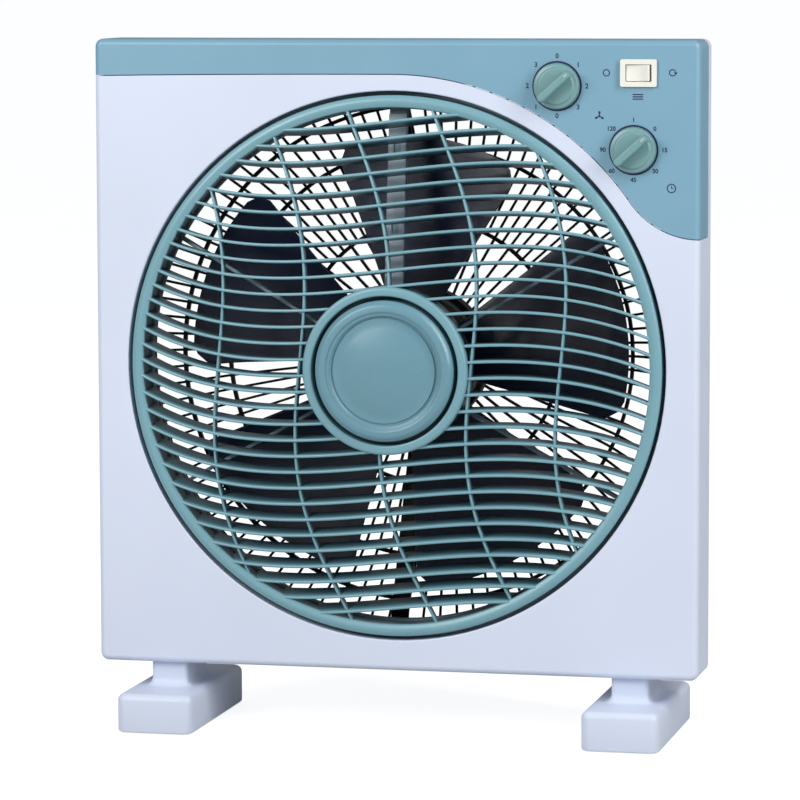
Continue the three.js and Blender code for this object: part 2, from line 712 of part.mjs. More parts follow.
// ---- Screws ----
const HEAD = 2.4; // depth of a screw's head
const bracketBack = BRACKET.front + BRACKET.thick;
const bracketFootBack = BRACKET.footFront + BRACKET.thick;

function screwAlongY([x, z], headBack, headR, shankR, length) {
  const start = headBack - HEAD;
  const profile = [
    [0, start - length], [shankR, start - length], [shankR, start], [headR, start], [headR, headBack],
    [0, headBack],
  ];
  return turned(profile, 8, x, z);
}

function footScrew([x, y]) {
  return post(4, 11, 13.7, x, y, 8).add(post(1.9, 13, 46, x, y, 8));
}

// ---- Assembly ----
const finish = (color, roughness, metalness = 0) => new THREE.MeshStandardMaterial({ color, roughness, metalness });
const lavender = finish("#d3d9ea", 0.45);
const blue = finish("#84abc4", 0.4);
const teal = finish("#7fb0ba", 0.4);
const knobBlue = finish("#78a0a8", 0.4);
const cream = finish("#f0efe8", 0.35);
const navy = finish("#20263f", 0.3);
const black = finish("#15171c", 0.5);
const grey = finish("#7b95a3", 0.5);
const steel = finish("#b9bcc0", 0.35, 1);
const zinc = finish("#c9ccd0", 0.4, 1);
const lamination = finish("#5b5d61", 0.5, 0.8);
const copper = finish("#b4673a", 0.4, 0.8);
const bronze = finish("#a9824a", 0.45, 0.9);
const rubber = finish("#2a2b2e", 0.85);

const fan = new THREE.Group();

function place(name, solid, material) {
  const mesh = solid.asOriginal().simplify(0.02).getMesh();
  const geometry = new THREE.BufferGeometry();
  geometry.setAttribute("position", new THREE.BufferAttribute(mesh.vertProperties, 3));
  geometry.setIndex(new THREE.BufferAttribute(mesh.triVerts, 1));
  const flat = geometry.toNonIndexed();
  flat.computeVertexNormals();
  const piece = new THREE.Mesh(flat, material);
  piece.name = name;
  fan.add(piece);
}

function placeEach(name, items, make, material) {
  items.forEach((item, i) => place(`${name}_${i + 1}`, make(item), material));
}

place("front_housing", frontHousing(), lavender);
place("control_fascia", controlFascia(), blue);
place("rear_housing", rearHousing(), lavender);
place("rear_guard", rearGuard(), black);
place("air_duct", airDuct(), black);
place("cord_inlet_gland", cordInletGland(), black);

place("rotary_louver", rotaryLouver(), teal);
place("centre_cap", centreCap(), knobBlue);
place("louver_drive_shaft", louverDriveShaft(), steel);
place("louver_spider", louverSpider(), grey);
place("wire_channel_cover", wireChannelCover(), lavender);
place("louver_motor", louverMotor(), zinc);

place("fan_blade", fanBlade(), navy);
place("motor_shaft", motorShaft(), steel);
place("blade_nut", bladeNut(), navy);
place("rotor_core", rotorCore(), lamination);
place("stator_core", statorCore(), lamination);
place("motor_front_shield", motorFrontShield(), zinc);
place("motor_rear_shield", motorRearShield(), zinc);
place("front_winding", frontWinding(), copper);
place("rear_winding", rearWinding(), copper);
place("front_bearing", bearingBush(MOTOR.front - 2, MOTOR.front + 4), bronze);
place("rear_bearing", bearingBush(MOTOR.back - 4, MOTOR.back), bronze);
place("motor_bracket", motorBracket(), black);
place("run_capacitor", runCapacitor(), black);

place("speed_knob", pointerKnob(SPEED), knobBlue);
place("speed_switch_shaft", controlShaft(SPEED), steel);
place("speed_switch_body", switchBody(SPEED, 11.5, 16), black);
place("timer_knob", pointerKnob(TIMER), knobBlue);
place("timer_shaft", controlShaft(TIMER), steel);
place("timer_body", switchBody(TIMER, 14.5, 22), zinc);
place("rocker_body", rockerBody(), cream);
place("rocker_button", rockerButton(), cream);
place("rocker_pin", rockerPin(), steel);

[["left_foot", -1], ["right_foot", 1]].forEach(([name, side]) => {
  place(name, foot(side), lavender);
  placeEach(`${name}_pad`, footPads(side), (pad) => pad, rubber);
});

placeEach("corner_screw", cornerScrews, (at) => screwAlongY(at, REAR.wellFloor + GAP + HEAD, 3.4, 1.7, 20), steel);
placeEach("guard_screw", guardScrews, (at) => screwAlongY(at, GUARD.rimBack + GAP + HEAD, 2.8, 1.2, 8), steel);
placeEach("spider_screw", spiderScrews, (at) => screwAlongY(at, DUCT.flangeBack + GAP + HEAD, 2.8, 1.2, 14.6), steel);
placeEach("bracket_screw", bracketScrews, (at) => screwAlongY(at, bracketFootBack + GAP + HEAD, 2.8, 1.2, 8), steel);
placeEach("motor_screw", motorScrews, (at) => screwAlongY(at, bracketBack + GAP + HEAD, 3.2, 1.6, 5), steel);
placeEach("foot_screw", footScrews, footScrew, steel);

export default fan;
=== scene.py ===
"""Looks of a box fan: shells, revolving louver, blades, guard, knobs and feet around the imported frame."""

import math

import bmesh
import bpy
from mathutils import Matrix, Vector


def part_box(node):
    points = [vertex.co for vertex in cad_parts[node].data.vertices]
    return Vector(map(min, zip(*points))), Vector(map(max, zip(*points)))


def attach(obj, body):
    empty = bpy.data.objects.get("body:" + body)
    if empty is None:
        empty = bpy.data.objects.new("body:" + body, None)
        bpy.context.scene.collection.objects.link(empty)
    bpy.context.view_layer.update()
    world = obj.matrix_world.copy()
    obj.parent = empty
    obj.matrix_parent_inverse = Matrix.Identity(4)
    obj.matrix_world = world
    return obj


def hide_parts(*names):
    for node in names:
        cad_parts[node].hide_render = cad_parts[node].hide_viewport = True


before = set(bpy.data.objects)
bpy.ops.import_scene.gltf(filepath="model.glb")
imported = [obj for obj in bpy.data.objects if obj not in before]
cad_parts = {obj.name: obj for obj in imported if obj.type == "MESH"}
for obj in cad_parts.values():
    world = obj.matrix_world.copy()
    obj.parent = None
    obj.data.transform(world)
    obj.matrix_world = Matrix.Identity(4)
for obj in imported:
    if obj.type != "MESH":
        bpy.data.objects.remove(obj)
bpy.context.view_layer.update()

bl_info = {
    "name": "Box Fan",
    "version": (1, 0, 0),
    "blender": (4, 5, 0),
    "location": "View3D > Sidebar > Box Fan",
    "description": "Builds a box fan with a revolving louver around its packed frame",
    "category": "Object",
}

# ---- Sizes in millimetres, read from the frame where it has them ----
MM = 0.001


def span(node):
    """Lowest and highest corner of a CAD node, in millimetres."""
    low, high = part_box(node)
    return low / MM, high / MM


BODY_LOW, BODY_HIGH = span("front_housing")
REAR_LOW, REAR_HIGH = span("rear_housing")
FASCIA_HIGH = span("control_fascia")[1]
LOUVER_LOW, LOUVER_HIGH = span("rotary_louver")
CAP_LOW, CAP_HIGH = span("centre_cap")
GUARD_LOW, GUARD_HIGH = span("rear_guard")
DUCT_LOW, DUCT_HIGH = span("air_duct")
SPIDER_BACK = span("louver_spider")[1].y
BLADE_LOW, BLADE_HIGH = span("fan_blade")
AXIS_Z = (LOUVER_LOW.z + LOUVER_HIGH.z) / 2
FRONT = BODY_LOW.y
SPLIT = BODY_HIGH.y
WALL = 2.5
EDGE = 3.6
CORNER = 4.8
LOUVER_OUTER = LOUVER_HIGH.x
LOUVER_INNER = LOUVER_OUTER - 7.1
OPENING = LOUVER_OUTER + 2.5
HUB_OUTER = 48.85
HUB_INNER = 43.4
FASCIA_ARC = 170.5
FASCIA_TURN_ANGLE = 35
FASCIA_LEFT = 386.5
REAR_OPENING = 165.0
LIP_DEPTH = 14.2
EAR_CIRCLE = 168
DIAGONALS = (45, 135, 225, 315)


def centre(node):
    """Middle of a CAD node as seen from the front: its x and z, in millimetres."""
    low, high = span(node)
    return (low.x + high.x) / 2, (low.z + high.z) / 2


def on_circle(radius, angle):
    """A point round the fan's axis: its x and z, with the angle in degrees from the right."""
    a = math.radians(angle)
    return radius * math.cos(a), AXIS_Z + radius * math.sin(a)


def quarter(steps):
    """Angles from 0 to 90 degrees, for a rounded edge."""
    return [math.pi / 2 * k / steps for k in range(steps + 1)]


# ---- Mesh helpers ----
def make_object(name, vertices, faces, edges=()):
    mesh = bpy.data.meshes.new(name)
    mesh.from_pydata([Vector(v) * MM for v in vertices], edges, faces)
    obj = bpy.data.objects.new(name, mesh)
    bpy.context.scene.collection.objects.link(obj)
    return obj


def close_up(obj):
    """Merges doubles and turns every face outwards."""
    bm = bmesh.new()
    bm.from_mesh(obj.data)
    bmesh.ops.remove_doubles(bm, verts=bm.verts, dist=1e-6)
    bmesh.ops.recalc_face_normals(bm, faces=bm.faces)
    bm.to_mesh(obj.data)
    bm.free()
    return obj


def apply_modifiers(obj):
    bpy.context.view_layer.update()
    graph = bpy.context.evaluated_depsgraph_get()
    mesh = bpy.data.meshes.new_from_object(obj.evaluated_get(graph), depsgraph=graph)
    obj.modifiers.clear()
    obj.data = mesh
    return obj


def smooth(obj, angle=35):
    obj.data.shade_smooth()
    obj.data.set_sharp_from_angle(angle=math.radians(angle))
    return obj


def soften(obj, width, segments=3, angle=40):
    """Rounds the sharp edges and keeps the flat faces flat in their shading."""
    bevel = obj.modifiers.new("Edge", "BEVEL")
    bevel.width = width * MM
    bevel.segments = segments
    bevel.limit_method = "ANGLE"
    bevel.angle_limit = math.radians(angle)
    apply_modifiers(obj)
    obj.data.shade_smooth()
    weighted = obj.modifiers.new("Normals", "WEIGHTED_NORMAL")
    weighted.keep_sharp = True
    return apply_modifiers(obj)


def combine(obj, others, operation="DIFFERENCE"):
    """Cuts others from obj, or joins or crosses them with it."""
    for other in others:
        step = obj.modifiers.new("Combine", "BOOLEAN")
        step.operation = operation
        step.solver = "EXACT"
        step.object = other
    apply_modifiers(obj)
    for other in others:
        bpy.data.objects.remove(other)
    return obj


def merged(name, objects):
    """One mesh of several objects that don't touch each other."""
    bm = bmesh.new()
    for obj in objects:
        bm.from_mesh(obj.data)
        bpy.data.objects.remove(obj)
    mesh = bpy.data.meshes.new(name)
    bm.to_mesh(mesh)
    bm.free()
    result = bpy.data.objects.new(name, mesh)
    bpy.context.scene.collection.objects.link(result)
    return result


def rounded(points, radius, steps=5):
    """A closed outline with its corners curved; a point's third value is its own radius."""
    result = []
    count = len(points)
    for i, point in enumerate(points):
        here = Vector(point[:2])
        before = Vector(points[i - 1][:2]) - here
        after = Vector(points[(i + 1) % count][:2]) - here
        own = point[2] if len(point) > 2 else radius
        if own <= 0:
            result.append(tuple(here))
            continue
        half = before.angle(after) / 2
        reach = min(own / math.tan(half), 0.48 * before.length, 0.48 * after.length)
        start = here + before.normalized() * reach
        end = here + after.normalized() * reach
        for k in range(steps + 1):
            t = k / steps
            result.append(tuple(start * (1 - t) ** 2 + here * 2 * t * (1 - t) + end * t * t))
    return result


def turned(name, profile, x=0.0, z=AXIS_Z, segments=128, angle=35):
    """A closed profile of (radius, depth) turned about an axis along Y."""
    vertices = []
    for i in range(segments):
        a = 2 * math.pi * i / segments
        vertices += [(x + r * math.cos(a), y, z + r * math.sin(a)) for r, y in profile]
    n = len(profile)
    faces = []
    for i in range(segments):
        a, b = i * n, ((i + 1) % segments) * n
        for k in range(n):
            m = (k + 1) % n
            if profile[k][0] > 1e-6 or profile[m][0] > 1e-6:
                faces.append((a + k, a + m, b + m, b + k))
    obj = make_object(name, vertices, faces)
    mend_poles(obj)
    return smooth(close_up(obj), angle)


def mend_poles(obj):
    """Merges the doubled points on the axis and drops faces that have no area."""
    bm = bmesh.new()
    bm.from_mesh(obj.data)
    bmesh.ops.remove_doubles(bm, verts=bm.verts, dist=1e-6)
    bmesh.ops.dissolve_degenerate(bm, edges=bm.edges, dist=1e-7)
    bm.to_mesh(obj.data)
    bm.free()


def turned_around(profile, radius, angles, segments):
    """The same turned piece at several angles round the fan's axis."""
    return [turned("copy", profile, *on_circle(radius, a), segments=segments) for a in angles]


def loft(name, sections, loop=False):
    """Joins neighbouring outlines that have the same number of points."""
    n = len(sections[0])
    vertices = [p for section in sections for p in section]
    rows = len(sections)
    faces = []
    for s in range(rows if loop else rows - 1):
        a, b = s * n, ((s + 1) % rows) * n
        faces += [(a + i, a + (i + 1) % n, b + (i + 1) % n, b + i) for i in range(n)]
    if not loop:
        faces.append(tuple(range(n)))
        faces.append(tuple(range((rows - 1) * n, rows * n)))
    return close_up(make_object(name, vertices, faces))


def prism(name, outline, front, back):
    """An outline in the X-Z plane, between two depths."""
    return loft(name, [[(x, y, z) for x, z in outline] for y in (front, back)])


def rectangle(x, z, width, height):
    w, h = width / 2, height / 2
    return [(x - w, z - h), (x + w, z - h), (x + w, z + h), (x - w, z + h)]


def circle(u, v, radius, segments=48):
    ring = [2 * math.pi * i / segments for i in range(segments)]
    return [(u + radius * math.cos(a), v + radius * math.sin(a)) for a in ring]


def at_height(outline, z):
    return [(x, y, z) for x, y in outline]


def cylinder(name, x, z, radius, front, back):
    """A round bar along Y."""
    return prism(name, circle(x, z, radius), front, back)


def upright(name, x, y, radius, low, high, segments=48):
    """A round bar along Z."""
    outline = circle(x, y, radius, segments)
    return loft(name, [at_height(outline, z) for z in (low, high)])


# ---- Materials ----
MATERIALS = {}
# Painted shade: the louver's colour darkens towards this deeper behind its domed front, standing in for the
# shade between the slats
PAINTED_SHADE_COLOUR = (0.030, 0.075, 0.105, 1.0)
PAINTED_SHADE_STRENGTH = 0.72
PAINTED_SHADE_STARTS = 0.0012
PAINTED_SHADE_ENDS = 0.0050


def add_node(tree, kind, inputs, settings):
    """Adds a node whose inputs are plain values or the outputs of other nodes."""
    made = tree.nodes.new(kind)
    for key, value in settings.items():
        setattr(made, key, value)
    for key, value in (inputs or {}).items():
        if isinstance(value, bpy.types.NodeSocket):
            tree.links.new(value, made.inputs[key])
        else:
            made.inputs[key].default_value = value
    return made


class Shader:
    """Builds one node material with a Principled shader and object coordinates."""

    def __init__(self, name):
        self.material = bpy.data.materials.new(name)
        self.material.use_nodes = True
        self.tree = self.material.node_tree
        self.surface = self.tree.nodes["Principled BSDF"]
        self.place = self.tree.nodes.new("ShaderNodeTexCoord").outputs["Object"]

    def node(self, kind, inputs=None, **settings):
        return add_node(self.tree, kind, inputs, settings)

    def vector(self, operation, one, two, output="Vector"):
        made = self.node("ShaderNodeVectorMath", {0: one, 1: two}, operation=operation)
        return made.outputs[output]

    def link(self, output, socket):
        self.tree.links.new(output, self.surface.inputs[socket])

    def set(self, **values):
        for key, value in values.items():
            self.surface.inputs[key.replace("_", " ")].default_value = value

    def noise(self, scale, detail=2.0, vector=None):
        inputs = {"Vector": vector or self.place, "Scale": scale, "Detail": detail}
        return self.node("ShaderNodeTexNoise", inputs).outputs["Fac"]

    def ranged(self, source, low, high, start=0.3, end=0.7):
        inputs = {"Value": source, "From Min": start, "From Max": end, "To Min": low, "To Max": high}
        return self.node("ShaderNodeMapRange", inputs).outputs["Result"]

    def blend(self, factor, one, two):
        inputs = {"Factor": factor, "A": one, "B": two}
        return self.node("ShaderNodeMix", inputs, data_type="RGBA").outputs["Result"]

    def bump(self, height, strength, distance):
        inputs = {"Height": height, "Strength": strength, "Distance": distance}
        self.link(self.node("ShaderNodeBump", inputs).outputs["Normal"], "Normal")


def tone(colour, factor):
    return (*[min(1.0, c * factor) for c in colour[:3]], 1.0)


def moulded(name, colour, roughness, grain, variation=0.035, grain_scale=1400.0):
    """Injection-moulded plastic: faint flow clouds, a fine skin grain and uneven gloss."""
    return moulded_shader(name, colour, roughness, grain, variation, grain_scale).material


def moulded_shader(name, colour, roughness, grain, variation=0.035, grain_scale=1400.0):
    """The nodes of a moulded plastic, for a finish that adds to them."""
    shader = Shader(name)
    clouds = shader.ranged(shader.noise(7.0, 3.0), 0.0, 1.0)
    mixed = shader.blend(clouds, tone(colour, 1 - variation), tone(colour, 1 + variation))
    shader.link(mixed, "Base Color")
    shader.link(shader.ranged(shader.noise(45.0, 4.0), roughness - 0.05, roughness + 0.06), "Roughness")
    shader.set(IOR=1.5)
    shader.bump(shader.noise(grain_scale, 3.0), grain, 0.0002)
    return shader


def behind_dome(shader):
    """How far each point lies behind the louver's domed front, in metres."""
    hub = (0, 0, AXIS_Z * MM)
    arm = shader.vector("SUBTRACT", shader.place, hub)
    flat = shader.vector("MULTIPLY", arm, (1, 0, 1))
    square = shader.vector("DOT_PRODUCT", flat, flat, "Value")
    depth = shader.node("ShaderNodeSeparateXYZ", {"Vector": shader.place}).outputs["Y"]
    rise = DOME / DOME_RADIUS ** 2 / MM
    inputs = {0: square, 1: -rise, 2: depth}
    level = shader.node("ShaderNodeMath", inputs, operation="MULTIPLY_ADD").outputs[0]
    inputs = {0: level, 1: dome_front(0) * MM}
    return shader.node("ShaderNodeMath", inputs, operation="SUBTRACT").outputs[0]


def louver_moulding(colour):
    """The louver's moulding, with painted shade: darker the further a point lies behind the front edges of
    its slats.
    """
    shader = moulded_shader("louver_moulding", colour, 0.32, 0.04)
    unshaded = shader.surface.inputs["Base Color"].links[0].from_socket
    # Painted shade: blends towards the dark colour with depth behind the domed front
    painted_shade = shader.ranged(behind_dome(shader), 0.0, PAINTED_SHADE_STRENGTH, PAINTED_SHADE_STARTS, PAINTED_SHADE_ENDS)
    shader.link(shader.blend(painted_shade, unshaded, PAINTED_SHADE_COLOUR), "Base Color")
    return shader.material


def metal(name, colour, roughness, stretch=(1.0, 1.0, 1.0)):
    """Plated or pressed metal: fine drawing lines and faint clouds in the plating."""
    shader = Shader(name)
    inputs = {"Vector": shader.place, "Scale": stretch}
    drawn = shader.node("ShaderNodeMapping", inputs).outputs["Vector"]
    clouds = shader.ranged(shader.noise(30.0, 3.0), 0.0, 1.0)
    shader.link(shader.blend(clouds, tone(colour, 0.88), tone(colour, 1.08)), "Base Color")
    lines = shader.noise(700.0, 2.0, drawn)
    shader.link(shader.ranged(lines, roughness - 0.08, roughness + 0.1), "Roughness")
    shader.set(Metallic=1.0)
    shader.bump(lines, 0.12, 0.0001)
    return shader.material


WAVES_PER_METRE = 0.314
SHEET_DARK, SHEET_LIGHT = (0.02, 0.02, 0.022), (0.07, 0.07, 0.075)
WIRE_DARK, WIRE_LIGHT = (0.16, 0.04, 0.015), (0.55, 0.2, 0.08)


def banded(name, dark, light, roughness, metallic, pitch):
    """Thin sheets or wires side by side along the depth of the part, at a pitch in metres."""
    shader = Shader(name)
    inputs = {"Vector": shader.place, "Scale": WAVES_PER_METRE / pitch, "Distortion": 0.2}
    bands = shader.node("ShaderNodeTexWave", inputs, bands_direction="Y").outputs["Fac"]
    shader.link(shader.blend(bands, (*dark, 1), (*light, 1)), "Base Color")
    shader.link(shader.ranged(shader.noise(200.0), roughness - 0.06, roughness + 0.08), "Roughness")
    shader.set(Metallic=metallic)
    shader.bump(bands, 0.6, 0.0003)
    return shader.material


def material(name):
    if name not in MATERIALS:
        MATERIALS[name] = FINISHES[name](bpy.context.scene.box_fan)
    return MATERIALS[name]


FINISHES = {
    "lavender": lambda p: moulded("lavender_moulding", p.housing_colour, 0.42, 0.08),
    "foot": lambda p: moulded("foot_moulding", p.housing_colour, 0.45, 0.1),
    "blue": lambda p: moulded("blue_moulding", p.fascia_colour, 0.36, 0.05),
    "teal": lambda p: louver_moulding(p.louver_colour),
    "cap": lambda p: moulded("cap_moulding", p.cap_colour, 0.3, 0.03),
    "knob": lambda p: moulded("knob_moulding", p.knob_colour, 0.35, 0.05),
    "cream": lambda p: moulded("rocker_moulding", (0.84, 0.83, 0.76), 0.25, 0.02),
    "navy": lambda p: moulded("blade_moulding", p.blade_colour, 0.22, 0.03, 0.1),
    "black": lambda p: moulded("black_moulding", (0.010, 0.012, 0.018), 0.4, 0.1, 0.1),
    "duct": lambda p: moulded("duct_moulding", (0.010, 0.020, 0.028), 0.5, 0.08, 0.1),
    "spider": lambda p: moulded("spider_moulding", (0.26, 0.37, 0.44), 0.4, 0.08),
    "channel": lambda p: moulded("channel_moulding", (0.44, 0.53, 0.62), 0.42, 0.08),
    "rubber": lambda p: moulded("foot_rubber", (0.018, 0.018, 0.020), 0.8, 0.3, 0.15, 700.0),
    "ink": lambda p: moulded("printed_ink", (0.010, 0.020, 0.060), 0.5, 0.02, 0.1),
    "pointer": lambda p: moulded("pointer_paint", (0.42, 0.52, 0.52), 0.4, 0.02),
    "steel": lambda p: metal("plated_steel", (0.62, 0.62, 0.60), 0.3, (1.0, 8.0, 1.0)),
    "zinc": lambda p: metal("pressed_shell", (0.20, 0.205, 0.215), 0.5),
    "bronze": lambda p: metal("sintered_bush", (0.42, 0.26, 0.12), 0.5),
    "lamination": lambda p: banded("stacked_sheets", SHEET_DARK, SHEET_LIGHT, 0.5, 0.6, 0.0007),
    "copper": lambda p: banded("wound_wire", WIRE_DARK, WIRE_LIGHT, 0.35, 0.9, 0.0006),
}


def finish_piece(obj, body, look, *nodes):
    """Gives a piece its material, its body and the CAD nodes that it stands for."""
    obj.data.materials.clear()
    obj.data.materials.append(material(look))
    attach(obj, body)
    if nodes:
        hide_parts(*nodes)
    return obj


def paint_node(look, *nodes):
    """Gives CAD nodes that stay visible their node material."""
    for name in nodes:
        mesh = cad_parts[name].data
        mesh.materials.clear()
        mesh.materials.append(material(look))


# ---- Geometry Nodes ----
class Tree:
    """A Geometry Nodes group with a geometry input and output and named sizes."""

    def __init__(self, name, sockets):
        self.tree = bpy.data.node_groups.new(name, "GeometryNodeTree")
        face = self.tree.interface
        face.new_socket("Geometry", in_out="INPUT", socket_type="NodeSocketGeometry")
        for label, kind in sockets:
            face.new_socket(label, in_out="INPUT", socket_type="NodeSocket" + kind)
        face.new_socket("Geometry", in_out="OUTPUT", socket_type="NodeSocketGeometry")
        self.inputs = self.tree.nodes.new("NodeGroupInput").outputs
        self.output = self.tree.nodes.new("NodeGroupOutput").inputs["Geometry"]

    def node(self, kind, inputs=None, **settings):
        return add_node(self.tree, kind, inputs, settings).outputs

    def vector(self, operation, one, two):
        return self.node("ShaderNodeVectorMath", {0: one, 1: two}, operation=operation)[0]

    def finish(self, geometry):
        """Paints the geometry, makes it real and hands it out."""
        inputs = {"Geometry": geometry, "Material": self.inputs["Material"]}
        painted = self.node("GeometryNodeSetMaterial", inputs)
        whole = self.node("GeometryNodeRealizeInstances", {"Geometry": painted[0]})
        self.tree.links.new(whole[0], self.output)
        return self.tree


def bars_tree():
    """Repeats the paths about the fan's axis and sweeps a rounded bar along each, deep along Y."""
    tree = Tree(
        "bars_along_paths",
        [("Width", "Float"), ("Depth", "Float"), ("Rounding", "Float"), ("Copies", "Int"),
         ("Axis Height", "Float"), ("Fan Out", "Float"), ("Material", "Material")],
    )
    spot = tree.node("GeometryNodeMeshLine", {"Count": tree.inputs["Copies"], "Offset": (0, 0, 0)})[0]
    inputs = {"Points": spot, "Instance": tree.inputs["Geometry"]}
    copies = tree.node("GeometryNodeInstanceOnPoints", inputs)[0]
    index = tree.node("GeometryNodeInputIndex")[0]
    step = tree.node("ShaderNodeMath", {0: 2 * math.pi, 1: tree.inputs["Copies"]}, operation="DIVIDE")[0]
    angle = tree.node("ShaderNodeMath", {0: index, 1: step}, operation="MULTIPLY")[0]
    turn = tree.node("ShaderNodeCombineXYZ", {"Y": angle})[0]
    pivot = tree.node("ShaderNodeCombineXYZ", {"Z": tree.inputs["Axis Height"]})[0]
    inputs = {"Instances": copies, "Rotation": turn, "Pivot Point": pivot, "Local Space": False}
    round_axis = tree.node("GeometryNodeRotateInstances", inputs)[0]
    paths = tree.node("GeometryNodeRealizeInstances", {"Geometry": round_axis})[0]
    curves = tree.node("GeometryNodeMeshToCurve", {"Mesh": paths})[0]
    place = tree.node("GeometryNodeInputPosition")[0]
    inputs = {0: tree.vector("SUBTRACT", place, pivot), "Scale": tree.inputs["Fan Out"]}
    lean = tree.node("ShaderNodeVectorMath", inputs, operation="SCALE")[0]
    lean = tree.vector("MULTIPLY", lean, (1, 0, 1))
    inputs = {"Curve": curves, "Normal": tree.vector("ADD", lean, (0, -1, 0))}
    facing = tree.node("GeometryNodeSetCurveNormal", inputs, mode="FREE")[0]
    inputs = {"Width": tree.inputs["Depth"], "Height": tree.inputs["Width"]}
    section = tree.node("GeometryNodeCurvePrimitiveQuadrilateral", inputs)[0]
    inputs = {"Curve": section, "Radius": tree.inputs["Rounding"], "Count": 3, "Limit Radius": True}
    section = tree.node("GeometryNodeFilletCurve", inputs, mode="POLY")[0]
    half = tree.node("ShaderNodeMath", {0: tree.inputs["Depth"], 1: -0.5}, operation="MULTIPLY")[0]
    shift = tree.node("ShaderNodeCombineXYZ", {"X": half})[0]
    section = tree.node("GeometryNodeTransform", {"Geometry": section, "Translation": shift})[0]
    inputs = {"Curve": facing, "Profile Curve": section, "Fill Caps": True}
    return tree.finish(tree.node("GeometryNodeCurveToMesh", inputs)[0])


def points_tree():
    """Puts a copy of a small piece at each point."""
    tree = Tree("copies_on_points", [("Piece", "Object"), ("Material", "Material")])
    piece = tree.node("GeometryNodeObjectInfo", {"Object": tree.inputs["Piece"]})["Geometry"]
    inputs = {"Points": tree.inputs["Geometry"], "Instance": piece}
    return tree.finish(tree.node("GeometryNodeInstanceOnPoints", inputs)[0])


TREES = {}


def run_tree(obj, make_tree, values):
    """Runs a Geometry Nodes group on obj with the named inputs and keeps the plain mesh."""
    if make_tree not in TREES:
        TREES[make_tree] = make_tree()
    tree = TREES[make_tree]
    modifier = obj.modifiers.new("Build", "NODES")
    modifier.node_group = tree
    for item in tree.interface.items_tree:
        if item.name in values:
            modifier[item.identifier] = values[item.name]
    return apply_modifiers(obj)


def bars(name, paths, width, depth, rounding, look, copies=1, fan_out=0.0):
    """Bars along paths of points in millimetres; fan_out leans their fronts off the axis."""
    vertices = [p for path in paths for p in path]
    edges = []
    start = 0
    for path in paths:
        edges += [(start + i, start + i + 1) for i in range(len(path) - 1)]
        start += len(path)
    obj = make_object(name, vertices, [], edges)
    values = {
        "Width": width * MM, "Depth": depth * MM, "Rounding": rounding * MM, "Copies": copies,
        "Axis Height": AXIS_Z * MM, "Fan Out": fan_out, "Material": material(look),
    }
    return smooth(close_up(run_tree(obj, bars_tree, values)), 40)


def copies_at(name, points, piece, look):
    spots = make_object(name, points, [])
    run_tree(spots, points_tree, {"Piece": piece, "Material": material(look)})
    bpy.data.objects.remove(piece)
    return smooth(spots, 35)


# ---- Body shells ----
CORNER_STEPS = 12
SIDE_STEPS = 36


def body_ring(inset, corner, low=BODY_LOW, high=BODY_HIGH):
    """Outline of the square body, drawn in by an inset."""
    left, right = low.x + inset, high.x - inset
    bottom, top = low.z + inset, high.z - inset
    corners = [
        (right - corner, top - corner, 0), (left + corner, top - corner, 90),
        (left + corner, bottom + corner, 180), (right - corner, bottom + corner, 270),
    ]
    points = []
    for i, (u, v, start) in enumerate(corners):
        for k in range(CORNER_STEPS + 1):
            a = math.radians(start + 90 * k / CORNER_STEPS)
            points.append((u + corner * math.cos(a), v + corner * math.sin(a)))
        nu, nv, following = corners[(i + 1) % 4]
        a = math.radians(following)
        end = Vector((nu + corner * math.cos(a), nv + corner * math.sin(a)))
        begin = Vector(points[-1])
        points += [tuple(begin.lerp(end, k / SIDE_STEPS)) for k in range(1, SIDE_STEPS)]
    return points


RAYS = [math.atan2(v - AXIS_Z, u) for u, v in body_ring(0, CORNER)]


def at_depth(outline, y):
    return [(x, y, z) for x, z in outline]


def edge_section(inset, y):
    return at_depth(body_ring(inset, max(CORNER - inset, 1.2)), y)


def hole_section(radius, y):
    return at_depth([(radius * math.cos(a), AXIS_Z + radius * math.sin(a)) for a in RAYS], y)


def front_edge(offset, steps=8):
    """The rounded front edge, and with an offset the same edge inside the wall."""
    radius = max(EDGE - offset, 0.8)
    sections = []
    for a in quarter(steps):
        inset = offset + radius * (1 - math.sin(a))
        sections.append(edge_section(inset, FRONT + offset + radius * (1 - math.cos(a))))
    return sections


def fascia_outline(spare):
    """Everything above the fascia's lower edge, moved down by spare."""
    end = math.radians(FASCIA_TURN_ANGLE)
    half = BODY_HIGH.x
    turn = half / math.cos(end) - FASCIA_ARC
    turn_z = AXIS_Z + (FASCIA_ARC + turn) * math.sin(end)
    side = half + 5
    arc = FASCIA_ARC - spare
    top = AXIS_Z + arc
    points = []
    for k in range(13):
        t = k / 12
        x = -side * (1 - t)
        points.append((x, top - (AXIS_Z + FASCIA_ARC - FASCIA_LEFT) * (x / side) ** 2))
    for k in range(1, 49):
        a = math.pi / 2 + (end - math.pi / 2) * k / 48
        points.append((arc * math.cos(a), AXIS_Z + arc * math.sin(a)))
    for k in range(1, 25):
        a = end + math.pi + (math.pi / 2 - end) * k / 24
        points.append((half + (turn + spare) * math.cos(a), turn_z + (turn + spare) * math.sin(a)))
    return points + [(side, turn_z - turn - spare), (side, BODY_HIGH.z + 5), (-side, BODY_HIGH.z + 5)]


def control_cutters():
    """Openings for the two knob shafts and the rocker."""
    front, back = FRONT - 8, FRONT + 12
    cutters = [prism("rocker_cut", rectangle(*centre("rocker_body"), 19.2, 13.6), front, back)]
    for node in ("speed_switch_shaft", "timer_shaft"):
        cutters.append(cylinder(node + "_cut", *centre(node), 4.5, front, back))
    return cutters


